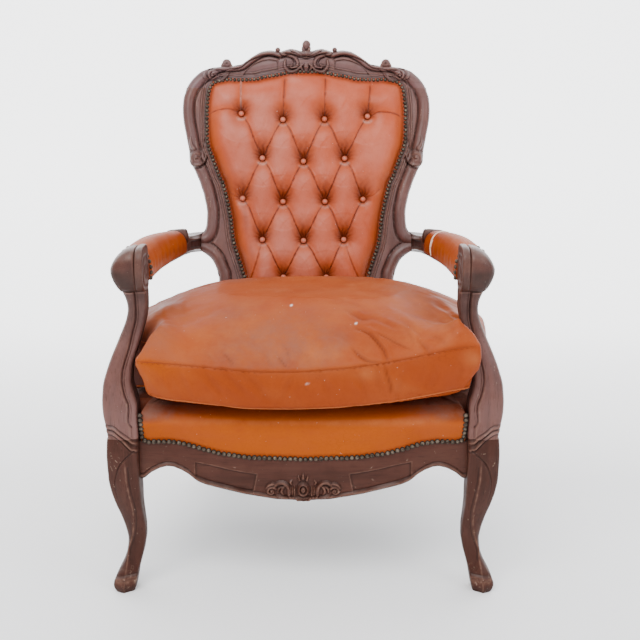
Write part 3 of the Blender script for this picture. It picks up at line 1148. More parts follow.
def apron_piece():
    n_c = 470
    xs = np.linspace(-.3027, .3027, n_c)
    # finer columns in the middle, where the rosette is
    xs = np.sign(xs) * np.abs(xs / .3027) ** 1.25 * .3027
    zb = apron_low(xs)
    zn = nail_z(xs)
    yf0 = apron_y(xs)
    m_r = 60
    t = np.linspace(0, 1, m_r)
    Zg = zb[:, None] + (zn - zb)[:, None] * t[None, :]
    Xg = np.repeat(xs[:, None], m_r, axis=1)
    e = Zg - zb[:, None]
    H = np.zeros_like(Zg)
    H -= .0050 * (1 - np.sqrt(np.clip(1 - (1 - np.clip(e / .0045, 0, 1)) ** 2, 0, 1)))
    H += .0022 * np.exp(-((e - .0058) / .0024) ** 2)
    g = np.exp(-((e - .0102) / .0011) ** 2)
    H -= .0019 * g
    # the rail swells gently between its edges
    H += .0016 * np.sin(np.pi * np.clip(t, 0, 1))[None, :]
    rel = Relief(np.abs(Xg), Zg, H)
    rel.dirt = np.maximum(rel.dirt, g * .85)
    rel.dirt = np.maximum(rel.dirt, np.exp(-((zn[:, None] - Zg) / .0030) ** 2) * .8)
    rel.wear = np.maximum(rel.wear, np.exp(-((e - .0055) / .002) ** 2) * .6)
    apron_carving(rel)
    sc = np.zeros_like(H)
    for k in range(14):
        a, c = float(hash01(np.array(k * 1.7), np.array(5.0), np.array(.5), np.array(2.0))), float(hash01(np.array(k * 3.1), np.array(2.0), np.array(.9), np.array(1.0)))
        x0 = -.29 + .58 * a
        z0 = float(apron_low(x0)) + .012 + .045 * c
        d, _ = polyline_distance(Xg, Zg, [(x0, z0), (x0 + .018 * (c - .5), z0 + .012 * (a - .3))])
        sc = np.maximum(sc, np.exp(-(d / .0006) ** 2))
    yf = yf0[:, None] - rel.H
    rings, dd, ww, ss = [], [], [], []
    for j in range(n_c):
        front = np.stack([Xg[j], yf[j], Zg[j]], axis=1)
        x = xs[j]
        step = np.array([[x, yf0[j] + .0045, zn[j]], [x, yf0[j] + .0045, .3035], [x, yf0[j] + .0060, .3050],
                         [x, .0565, .3050], [x, .0580, .3035], [x, .0580, (zb[j] + .305) / 2], [x, .0580, zb[j] + .003],
                         [x, .0555, zb[j]], [x, .0400, zb[j]], [x, .0280, zb[j]]])
        ring = np.vstack([front, step])
        rings.append(ring)
        k = len(ring) - m_r
        dd.append(np.concatenate([rel.dirt[j], np.full(k, .2)]))
        ww.append(np.concatenate([rel.wear[j], np.full(k, .0)]))
        ss.append(np.concatenate([sc[j], np.full(k, .0)]))
    b = Build()
    b.grid(np.array(rings), wrap=True, caps=True, values={"dirt": np.array(dd), "wear": np.array(ww), "scuff": np.array(ss)})
    return place(b.make("carved_apron", WOOD_APRON, sharp=55), "seat_rail_front", slot="carved_wood")


apron_piece()

# ------------------------------------------------------------------ legs and arm supports
GROOVE_LINE = [(.3128, .3275), (.3182, .338), (.317, .367), (.3242, .388), (.3277, .408), (.3268, .429), (.3216, .449),
               (.3148, .469), (.3089, .495), (.3025, .520), (.3013, .541), (.3020, .560), (.3030, .5852)]
RIDGE = [(.338, .012), (.336, .035), (.3325, .060), (.331, .080), (.3212, .110), (.3169, .138), (.3169, .166), (.321, .195),
         (.325, .225), (.3262, .252), (.3270, .262)]


def edge_drop(e, r):
    return -r * (1 - np.sqrt(np.clip(1 - (1 - np.clip(e / r, 0, 1)) ** 2, 0, 1)))


def knee_lines(rel):
    """Double bead crossing the joint of leg and support, and the heart line on the knee."""
    up = [(.3610, .3275), (.3554, .3265), (.3439, .3246), (.3334, .3160), (.3193, .3055), (.3123, .2988), (.3040, .2960)]
    lo = [(.3610, .3187), (.3558, .3183), (.3461, .3160), (.3338, .3074), (.3216, .2949), (.3146, .2872), (.3040, .2830)]
    mid = [(.3610, .3231), (.3556, .3224), (.3450, .3203), (.3336, .3117), (.3204, .3002), (.3134, .2930), (.3040, .2895)]
    rel.bead(up, .0027, .0024)
    rel.bead(lo, .0027, .0024)
    rel.groove(mid, .0009, .0020)
    rel.groove([(p[0], p[1] + .0048) for p in up], .0010, .0014)
    rel.groove([(p[0], p[1] - .0050) for p in lo], .0010, .0016)


def leg_relief(X, Z):
    xr = np.interp(Z, [p[1] for p in RIDGE], [p[0] for p in RIDGE])
    xi, xo = leg_in(Z), leg_out(Z)
    d = X - xr
    low = smoothstep(.275, .235, Z)
    half = np.where(d > 0, xo - xr, xr - xi)
    r = np.clip(np.abs(d) / np.maximum(half, .004), 0, 1)
    # outer facet gentle and bright, inner facet steeper and hollow
    facet = np.where(d > 0, -.0095 * r ** 1.5, -.0110 * r ** .85)
    block = -.0075 * np.clip(np.abs((X - .334) / .031), 0, 1) ** 2.6
    H = facet * low + block * (1 - low)
    e = np.minimum(X - xi, xo - X)
    H = H + edge_drop(e, .0045)
    rel = Relief(X, Z, H)
    # thin fillet along the ridge
    line = [p for p in RIDGE if .05 < p[1] < .262]
    rel.groove([(x - .0042, z) for x, z in line], .0011, .0014)
    rel.wear = np.maximum(rel.wear, np.exp(-((X - xr) / .0014) ** 2) * .8 * low)
    rel.groove([(.3090, .2830), (.3131, .2795), (.3264, .2679), (.3360, .2563), (.3425, .2407), (.3467, .2212), (.3458, .1996), (.3420, .182)],
               [.0012, .0013, .0013, .0012, .0010, .0008, .0006, .0004], [.0016, .0024, .0024, .0022, .0018, .0014, .0008, .0002])
    rel.fix_base()
    knee_lines(rel)
    # rim above the toe
    rel.groove([(.300, .0300), (.325, .0335), (.345, .0310), (.365, .0270)], .0016, .0018)
    rel.bead([(.300, .0250), (.325, .0285), (.345, .0262), (.365, .0215)], .0030, .0016)
    rel.wear = np.maximum(rel.wear, np.exp(-((Z - .022) / .005) ** 2) * .7)
    rel.dirt = np.maximum(rel.dirt, smoothstep(.016, .002, Z) * .9)
    return rel


leg_in = table_fn([(r[0], r[1] if r[0] < .2207 else .3032) for r in FRONT_LEG if abs(r[0] - .2205) > 1e-6], .0028)
leg_out = table_fn([(r[0], r[2]) for r in FRONT_LEG if abs(r[0] - .2205) > 1e-6], .0045)
leg_front = table_fn([(r[0], r[3]) for r in FRONT_LEG if abs(r[0] - .2205) > 1e-6], .0045)
leg_back = table_fn([(r[0], r[4]) for r in FRONT_LEG if abs(r[0] - .2205) > 1e-6], .0045)
sup_in = table_fn([(r[0], r[1]) for r in ARM_SUPPORT], .0045)
sup_out = table_fn([(r[0], r[2]) for r in ARM_SUPPORT], .0060)
sup_mid = table_fn([(r[0], r[3]) for r in ARM_SUPPORT], .0080)
sup_dep = table_fn([(r[0], r[4]) for r in ARM_SUPPORT], .0080)


def support_relief(X, Z):
    xi, xo = sup_in(Z), sup_out(Z)
    xg = np.interp(Z, [p[1] for p in GROOVE_LINE], [p[0] for p in GROOVE_LINE])
    rout = np.clip((X - xg) / np.maximum(xo - xg, .004), 0, 1)
    swell = .0040 * np.sin(np.pi * rout ** .8) * (X > xg) - .0030 * rout ** 3
    inner = -.0014 * (X <= xg)
    H = swell + inner + edge_drop(np.minimum(X - xi, xo - X), .0060)
    rel = Relief(X, Z, H)
    low_cut = .3275
    rel.groove([p for p in GROOVE_LINE], .0012, .0024, dirt=.55)
    rel.groove([(x - .0045, z) for x, z in GROOVE_LINE if z > .334], .0008, .0014, dirt=.45)
    rel.wear = np.maximum(rel.wear, np.exp(-((X - xg - .0032) / .0012) ** 2) * .7)
    rel.dirt = np.maximum(rel.dirt, .80 * smoothstep(.470, .535, Z + .02 * fbm(X * 30, Z * 12, X * 0, 3, 12.0)) * (Z < .5705))
    rel.wear = np.maximum(rel.wear, np.exp(-((Z - .5722) / .0011) ** 2) * .9 * (X > xg))
    rel.H = rel.H + .0008 * np.exp(-((Z - .5718) / .0016) ** 2) * (X > xg)
    rel.fix_base()
    knee_lines(rel)
    return rel


def upright(name, node, zs, fin, fout, y0s, y1s, relief, side, r_back=.010, nf=46, extra=None, wood=None, shade_in=.35):
    s = np.linspace(0, 1, nf)
    xi, xo = fin(zs), fout(zs)
    X = xi[:, None] + (xo - xi)[:, None] * s[None, :]
    Z = np.repeat(zs[:, None], nf, axis=1)
    rel = relief(X, Z)
    yf = y0s[:, None] - rel.H
    sc = np.zeros_like(Z)
    for k in range(12):
        a = float(hash01(np.array(k * 1.3), np.array(3.0 + side * .5), np.array(zs[0] * 10), np.array(4.0)))
        c = float(hash01(np.array(k * 2.9), np.array(1.0 - side * .5), np.array(.2), np.array(zs[-1] * 10)))
        z0 = zs[0] + (zs[-1] - zs[0]) * a
        x0 = float(fin(z0)) + (float(fout(z0)) - float(fin(z0))) * (.15 + .7 * c)
        d, _ = polyline_distance(X, Z, [(x0, z0), (x0 + .010 * (a - .5), z0 + .014 * (c - .4))])
        sc = np.maximum(sc, np.exp(-(d / .00055) ** 2) * .9)
    if extra is not None:
        extra(rel, sc, X, Z, side)
    rings, dd, ww, ss = [], [], [], []
    for j, z in enumerate(zs):
        rb = min(r_back, (xo[j] - xi[j]) * .42)
        front = np.stack([X[j], yf[j], np.full(nf, z)], axis=1)
        arc = np.linspace(0, math.pi / 2, 6)
        o = np.linspace(yf[j, -1], y1s[j] - rb, 9)[1:-1]
        outer = np.stack([xo[j] + 0 * o, o, np.full(7, z)], axis=1)
        c1 = np.stack([xo[j] - rb + rb * np.cos(arc), y1s[j] - rb + rb * np.sin(arc), np.full(6, z)], axis=1)
        bk = np.stack([np.linspace(xo[j] - rb, xi[j] + rb, 6)[1:-1], np.full(4, y1s[j]), np.full(4, z)], axis=1)
        c2 = np.stack([xi[j] + rb - rb * np.sin(arc), y1s[j] - rb + rb * np.cos(arc), np.full(6, z)], axis=1)
        i = np.linspace(y1s[j] - rb, yf[j, 0], 9)[1:-1]
        inner = np.stack([xi[j] + 0 * i, i, np.full(7, z)], axis=1)
        ring = np.vstack([front, outer, c1, bk, c2, inner])
        rings.append(ring)
        k = len(ring) - nf
        rest = np.full(k, float(np.clip(.25 + .6 * (z < .02), 0, 1)))
        rest[-13:] = np.maximum(rest[-13:], shade_in)
        dd.append(np.concatenate([rel.dirt[j], rest]))
        ww.append(np.concatenate([rel.wear[j], np.full(k, .05)]))
        ss.append(np.concatenate([sc[j], np.zeros(k)]))
    P = np.array(rings)
    P[:, :, 0] *= side
    b = Build()
    b.grid(P, wrap=True, caps=True, values={"dirt": np.array(dd), "wear": np.array(ww), "scuff": np.array(ss)})
    return place(b.make(name, wood or WOOD_LOW, sharp=50), node, slot="carved_wood")


def leg_marks(rel, sc, X, Z, side):
    """Knocks: scraped toes, a pale nick on the left knee, a chipped right foot."""
    n = noise3(X * 260, Z * 260, X * 0 + side, 3.0)
    sc[:] = np.maximum(sc, smoothstep(.40, .62, n) * smoothstep(.060, .020, Z) * .6)
    if side < 0:
        d, _ = polyline_distance(X, Z, [(.3520, .2790), (.3496, .2700)])
        sc[:] = np.maximum(sc, np.exp(-(d / .0013) ** 2) * .9)
    else:
        d = np.hypot((X - .345) / .012, (Z - .000) / .006)
        rel.H -= .0030 * np.exp(-d ** 2)
        rel.dirt = np.maximum(rel.dirt, np.exp(-d ** 2))


for side, lab in ((-1, "left"), (1, "right")):
    zs = np.unique(np.concatenate([np.linspace(0, .030, 16), np.arange(.030, .25, .0030), np.arange(.25, .3050, .0016), [.3050]]))
    yb = leg_back(zs)
    upright("cabriole_leg_" + lab, "front_leg_" + lab, zs, leg_in, leg_out, leg_front(zs) + .0002, yb, leg_relief, side, .009, extra=leg_marks)
    zs = np.unique(np.concatenate([np.arange(.3053, .345, .0014), np.arange(.345, .5730, .0026), [.5730]]))
    ym, dp = sup_mid(zs), sup_dep(zs)
    upright("carved_support_" + lab, "arm_support_" + lab, zs, sup_in, sup_out, ym - dp / 2, ym + dp / 2, support_relief, side, .009, wood=WOOD_SUP, shade_in=1.0)

# ------------------------------------------------------------------ arm rails
KN_Y, KN_Z, KN_R = .044, .617, .0375
RAIL_IN = [(.0600, .2845), (.0905, .2845), (.1400, .2845), (.2200, .2812), (.3000, .2725), (.3700, .2600), (.4000, .2545),
           (.4170, .2500), (.4350, .2475), (.4520, .2445), (.4750, .2405), (.4970, .2380), (.5160, .2368), (.5345, .2364)]


def arm_rail(name, side):
    b = Build()
    # knuckle: a flat-topped inner strip with a bead, then a bulb that narrows down to the support
    prof = [(.2825, .6520, .5760, .0355), (.2828, .6541, .5742, .0374), (.2838, .6553, .5736, .0383), (.2870, .6559, .5735, .0387),
            (.2910, .6559, .5735, .0387), (.2940, .6553, .5735, .0383), (.2954, .6541, .5735, .0372), (.2961, .6520, .5736, .0356),
            (.2968, .6512, .5736, .0350), (.2976, .6526, .5735, .0360), (.2990, .6540, .5735, .0371), (.3020, .6546, .5735, .0378),
            (.3070, .6538, .5735, .0380), (.3130, .6519, .5735, .0376), (.3195, .6488, .5735, .0368), (.3250, .6450, .5737, .0355),
            (.3300, .6404, .5790, .0337), (.3342, .6353, .5856, .0312), (.3376, .6300, .5922, .0279), (.3400, .6252, .5982, .0240),
            (.3416, .6215, .6036, .0198), (.3426, .6185, .6080, .0150), (.3430, .6150, .6120, .0090)]
    prof = np.array(prof)
    sl = np.concatenate([[0], np.cumsum(np.linalg.norm(np.diff(prof[:, :2], axis=0), axis=1) + 1e-4)])
    uu = np.unique(np.concatenate([np.linspace(0, sl[-1], 84), sl]))
    fx, ft, fb, fy = (np.interp(uu, sl, prof[:, k]) for k in range(4))
    a = np.arange(88) * 2 * math.pi / 88

    def loop(x, top, low, half, shrink=1.0):
        # front rounded, back and inner top square
        ca, sa = np.cos(a), np.sin(a)
        yc, zc = .0462, (top + low) / 2
        e = np.where(ca > 0, .34, .78)
        yy = yc + np.sign(ca) * np.abs(ca) ** e * half * shrink
        ez = np.where(ca > 0, .34, np.where(sa > 0, .62, .86))
        zz = zc + np.sign(sa) * np.abs(sa) ** ez * (top - low) / 2 * shrink
        return yy, zz

    P, scuff, wear, dirt = [], [], [], []
    for x, top, low, half in zip(fx, ft, fb, fy):
        yy, zz = loop(x, top, low, half)
        P.append(np.stack([np.full(88, side * x), yy, zz], 1))
        sc = np.zeros(88)
        if side < 0:
            sc = np.exp(-(((x - .3362 + (zz - .629) * .3) / .0036) ** 2 + ((zz - .6290) / .0052) ** 2) ** 2) * (yy < .05)
        scuff.append(sc)
        edge = np.exp(-((x - .2954) / .0012) ** 2) + np.exp(-((x - .2992) / .0012) ** 2)
        wear.append(np.clip(.45 * edge + .35 * smoothstep(.628, .640, zz) * (x > .300) + .25 * (x < .2950), 0, 1))
        dirt.append(np.clip(np.exp(-((x - .2966) / .0008) ** 2) + .95 * smoothstep(.621, .608, zz) * (x > .2985) + .55 * smoothstep(.620, .600, zz) * (x < .2960) + .7 * (x < .2829) * smoothstep(.0, .0004, .2829 - x), 0, 1))
    b.grid(np.array(P), wrap=True, caps=False, values={"dirt": np.array(dirt), "wear": np.array(wear), "scuff": np.array(scuff)})
    # inner face with a shallow carved spiral; blunt outer end
    for k, sgn in ((0, -1), (-1, 1)):
        x, top, low, half = fx[k], ft[k], fb[k], fy[k]
        rows, vd, vw = [], [], []
        for q in np.linspace(1.0, .04, 24):
            yy, zz = loop(x, top, low, half, q)
            phase = q * 2.1 * 2 * math.pi + sgn * a
            groove = (.5 + .5 * np.cos(phase)) ** 3 * smoothstep(.92, .80, q) * smoothstep(.08, .2, q) * (k == 0)
            XX = x - sgn * .0016 * groove + sgn * .0006 * (1 - q * q)
            rows.append(np.stack([side * XX, yy, zz], 1))
            vd.append(np.clip(.45 * (k == 0) + groove * .5, 0, 1))
            vw.append(.1 * (1 - groove))
        b.grid(np.array(rows), wrap=True, values={"dirt": np.array(vd), "wear": np.array(vw)})
        yy, zz = loop(x, top, low, half, .0)
        c = b.points(np.array([[side * (x + sgn * .0006), yy[0], zz[0]]]), {"dirt": 0.3})
        last = np.arange(88) + c - 88
        b.tris(np.stack([last, np.roll(last, -1), np.full(88, c)], axis=-1))
    # rail under the pad, and the part behind it that sweeps into the upright
    fin = table_fn(RAIL_IN, .008)
    outer = table_fn([(y, x) for x, y in ((.3355, .0600), (.3355, .1400), (.3310, .2200), (.3205, .3000), (.3060, .3700), (.2985, .4000),
                                          (.2930, .4170), (.2890, .4350), (.2845, .4600), (.2790, .4950), (.2700, .5300), (.2560, .5530), (.2364, .5660))], .006)
    ys = np.unique(np.concatenate([np.linspace(.0780, .395, 90), np.linspace(.395, .5345, 72)]))
    top = table_fn([(.06, .5995), (.398, .5995), (.404, .611), (.412, .620), (.425, .6180), (.436, .6140), (.452, .6125), (.475, .6100), (.497, .6080), (.516, .6065), (.5345, .6057)], .003)
    bot = table_fn([(.06, .5803), (.40, .5798), (.435, .5782), (.452, .5765), (.475, .5735), (.497, .5702), (.516, .5672), (.5345, .5642)], .006)
    rings, dd, ww = [], [], []
    ntop, nface = 12, 20
    for y in ys:
        t = smoothstep(.455, .5345, y)
        xi = float(fin(y))
        # the outer edge turns to meet the upright's side behind its front face
        k = (y - .06) / (.5345 - .06)
        yo = y + .0355 * t ** 1.3
        xo = float(outer(yo))
        if y > .5344:
            xo, yo = .2366, .5680
        z0, z1 = float(bot(y)), float(top(y))
        h = z1 - z0
        hollow = .0052 * smoothstep(.425, .450, y) * smoothstep(.5345, .505, y) ** .4
        ring, rdd, rww = [], [], []
        pa, pb = np.array([xi, y]), np.array([xo, yo])
        w = np.linalg.norm(pb - pa)
        dirn = (pb - pa) / w
        r = min(.0065, h * .33)
        # face towards the sitter: round mouldings at top and bottom, hollow between
        for q in np.linspace(0, 1, nface):
            z = z0 + r * .6 + (h - 1.2 * r) * q
            c = (q - .5) * 2
            rolled = .0030 * np.exp(-((abs(c) - .78) / .20) ** 2)
            off = hollow * (1 - smoothstep(.42, .62, abs(c))) - rolled * smoothstep(.425, .450, y)
            edge_in = .0018 * smoothstep(.86, 1.0, abs(c))
            p = pa + dirn * (off + edge_in)
            ring.append((side * p[0], p[1], z))
            rdd.append(float(np.exp(-((abs(c) - .55) / .08) ** 2) * smoothstep(.425, .45, y)))
            rww.append(float(.5 * np.exp(-((abs(c) - .82) / .1) ** 2)))
        for q in np.linspace(0, 1, ntop):
            c = math.sin(math.pi * q)
            rr = .0045
            p = pa + dirn * (rr * .7 + (w - 1.4 * rr) * q)
            ring.append((side * p[0], p[1], z1 + .0006 * c))
            rdd.append(.12)
            rww.append(.25)
        for q in np.linspace(0, 1, 8):
            z = z1 - r * .7 - (h - 1.4 * r) * q
            p = pb + dirn * (.0010 * math.sin(math.pi * q))
            ring.append((side * p[0], p[1], z))
            rdd.append(.12)
            rww.append(.1)
        for q in np.linspace(0, 1, ntop):
            rr = .0045
            p = pb - dirn * (rr * .7 + (w - 1.4 * rr) * q)
            ring.append((side * p[0], p[1], z0 - .0003 * math.sin(math.pi * q)))
            rdd.append(.35)
            rww.append(.0)
        rings.append(ring)
        dd.append(rdd)
        ww.append(rww)
    b.grid(np.array(rings), wrap=True, caps=True, values={"dirt": np.array(dd), "wear": np.array(ww)})
    # small roll behind the pad: a tapered drum across the arm, with a spiral on each end
    ry, rz, rr = .4185, .6182, .0170
    axis = np.array([-.0445, .0205]) / math.hypot(.0445, .0205)
    inner = np.array([.2535, .4080])
    nx = 26
    L = np.linspace(0, .0462, nx)
    taper = 1 - .24 * (L / L[-1])
    prof_r = rr * taper * (1 - .12 * np.exp(-((L - .0036) / .0014) ** 2) - .08 * np.exp(-((L[-1] - .0030 - L) / .0016) ** 2)
                           + .02 * np.sin(L / L[-1] * math.pi))
    prof_r[0] *= .93
    prof_r[-1] *= .90
    a = np.arange(72) * 2 * math.pi / 72
    across = np.array([axis[1], -axis[0]])

    def roll_point(l, r, ang):
        px = inner[0] - axis[0] * l + across[0] * r * np.cos(ang)
        py = inner[1] + axis[1] * l + across[1] * r * np.cos(ang)
        return np.stack([side * px, py, rz - .0022 * l / .0462 + r * np.sin(ang)], axis=-1)

    A2, L2 = np.meshgrid(a, L)
    R2 = np.repeat(prof_r[:, None], 72, axis=1)
    b.grid(roll_point(L2, R2, A2), wrap=True,
           values={"dirt": np.clip(np.exp(-((L2 - .0036) / .0012) ** 2) + np.exp(-((.0432 - L2) / .0012) ** 2), 0, 1) * .8, "wear": .3})
    for l0, sgn, r0 in ((0.0, -1, prof_r[0]), (L[-1], 1, prof_r[-1])):
        rad = np.linspace(1, .05, 20)
        Rg, Ag = np.meshgrid(rad, a, indexing="ij")
        phase = Rg * 1.55 * 2 * math.pi + sgn * Ag
        groove = (.5 + .5 * np.cos(phase)) ** 2.0
        fade = smoothstep(1.0, .86, Rg)
        b.grid(roll_point(l0 + sgn * (-.0026 * groove * fade + .0024 * smoothstep(.34, .14, Rg)), Rg * r0, Ag), wrap=True,
               values={"dirt": groove * fade, "wear": (1 - groove) * .4})
        c = b.points(roll_point(np.array(l0 + sgn * .0024), np.array(0.0), np.array(0.0))[None], {"dirt": 0.1})
        last = np.arange(72) + c - 72
        b.tris(np.stack([last, np.roll(last, -1), np.full(72, c)], axis=-1))
    return place(b.make("carved_" + name, WOOD_Y, sharp=45), name, slot="carved_wood")


arm_rail("arm_rail_left", -1)
arm_rail("arm_rail_right", 1)

# ------------------------------------------------------------------ carried-over wood
for n in ("seat_rail_left", "seat_rail_right", "seat_rail_back", "back_lower_rail"):
    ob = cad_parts[n]
    ob.data.materials.clear()
    ob.data.materials.append(RAIL_Y if n in ("seat_rail_left", "seat_rail_right") else RAIL_X)
    bv = ob.modifiers.new("worn_edges", "BEVEL")
    bv.width = .0016
    bv.segments = 2
    bv.limit_method = "ANGLE"
    bv.angle_limit = math.radians(40)
for n in ("corner_block_front_left", "corner_block_front_right", "corner_block_rear_left", "corner_block_rear_right"):
    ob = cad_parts[n]
    ob.data.materials.clear()
    ob.data.materials.append(RAW_MAT)
    bv = ob.modifiers.new("worn_edges", "BEVEL")
    bv.width = .0012
    bv.segments = 2
    bv.limit_method = "ANGLE"

# ------------------------------------------------------------------ upholstered back
TUFT_DEPTH = .012
in_right = resample(spline([(.128, .4803)] + [(x, z) for z, x in STILE_INNER if .488 < z < .915] + [(.2150, .9100), (.2125, .9230)], 5), count=240)
top_half = resample(spline([(.2125, .9230), (.2090, .9300), (.2010, .9352)] + [(x, z) for x, z in reversed(CREST_LOWER) if x < .19], 5), count=160)
OPEN_TOP = np.vstack([np.stack([-top_half[:, 0], top_half[:, 1]], 1), top_half[::-1][1:]])
OPEN_LOOP = np.vstack([[(-.128, .4803), (.128, .4803)], in_right[1:], OPEN_TOP[::-1][1:-1], np.stack([-in_right[::-1][:, 0], in_right[::-1][:, 1]], 1)[:-1]])


def open_patch(ncol, nrow, grow):
    """Grid of (x, z) points over the back's opening, grown outwards by grow at its sides and top."""
    t = np.linspace(0, 1, nrow)
    s = np.linspace(0, 1, ncol)
    R = resample(in_right, count=nrow)
    nrm = np.gradient(R, axis=0)
    nrm /= np.linalg.norm(nrm, axis=1)[:, None]
    R = R + np.stack([nrm[:, 1], -nrm[:, 0]], 1) * grow
    T = resample(OPEN_TOP, count=ncol)
    tn = np.gradient(T, axis=0)
    tn /= np.linalg.norm(tn, axis=1)[:, None]
    T = T + np.stack([-tn[:, 1], tn[:, 0]], 1) * grow
    R[-1] = T[-1] = (R[-1] + T[-1]) / 2
    # round off the grown corner so that side and top meet
    L = np.stack([-R[:, 0], R[:, 1]], 1)
    T[0] = L[-1]
    B = np.stack([np.linspace(L[0, 0], R[0, 0], ncol), np.full(ncol, R[0, 1])], 1)
    S, U = np.meshgrid(s, t)
    S3, U3 = S[..., None], U[..., None]
    P = ((1 - S3) * L[:, None, :] + S3 * R[:, None, :] + (1 - U3) * B[None, :, :] + U3 * T[None, :, :]
         - ((1 - S3) * (1 - U3) * B[0] + S3 * (1 - U3) * B[-1] + (1 - S3) * U3 * T[0] + S3 * U3 * T[-1]))
    return P[..., 0], P[..., 1]


A1, A2, A3, A4, B1, B2, B3, C1, C2, C3, C4, D1, D2, D3, E1, E2 = range(16)
PLEATS = [(A1, B1), (A2, B1), (A2, B2), (A3, B2), (A3, B3), (A4, B3), (B1, C1), (B1, C2), (B2, C2), (B2, C3), (B3, C3), (B3, C4),
          (C1, D1), (C2, D1), (C2, D2), (C3, D2), (C3, D3), (C4, D3), (D1, E1), (D2, E1), (D2, E2), (D3, E2)]


def pleat_lines():
    lines = []
    for a, b in PLEATS:
        p, q = np.array(BUTTONS[a]), np.array(BUTTONS[b])
        d = q - p
        n = np.array([-d[1], d[0]])
        n = n / np.linalg.norm(n) * (1 if n[1] > 0 else -1)
        k = 1.0 if d[0] > 0 else .55
        lines.append((spline([p, p + d * .28 + n * .0045 * k, p + d * .60 + n * .0022 * k, q], 7), 1.0))
    for i, (u0, u1) in ((A1, (243.5, 240.5)), (A2, (285, 284.6)), (A3, (325.5, 325.5)), (A4, (368.5, 371))):
        x, z = BUTTONS[i]
        x1 = on_plane(u1, 80, .02)[0]
        lines.append((spline([(x, z), (x + (x1 - x) * .45, z + .034), (x1, .9460 if i in (A2, A3) else .9400)], 7), .9))
    arch = [on_plane(u, v, .02) for u, v in ((240.5, 114.5), (234.8, 110.5), (227.1, 109), (217.9, 110.1), (210.3, 113.6), (206.5, 119.0))]
    lines.append((spline(arch, 6), .85))
    arch = [on_plane(u, v, .02) for u, v in ((369.0, 117.5), (372.1, 115.6), (377.1, 112.7), (385.4, 112.1), (395.4, 114), (402, 118.1), (407.8, 123.9))]
    lines.append((spline(arch, 6), .85))
    lines.append((spline([BUTTONS[C1], (-.160, .690), (-.174, .700)], 5), .35))
    lines.append((spline([BUTTONS[C4], (.150, .692), (.164, .704)], 5), .35))
    for a, x in ((D1, -.128), (D3, .124)):
        p = BUTTONS[a]
        lines.append((spline([p, ((p[0] * .55 + x * .45), .545), (x, .4950)], 6), .70))
    lines.append((spline([BUTTONS[E1], (-.060, .496), (-.066, .484)], 4), .6))
    lines.append((spline([BUTTONS[E2], (.052, .496), (.056, .484)], 4), .6))
    lines.append((spline([BUTTONS[E1], (-.040, .497), (-.034, .484)], 4), .5))
    lines.append((spline([BUTTONS[E2], (.036, .497), (.030, .484)], 4), .5))
    return lines


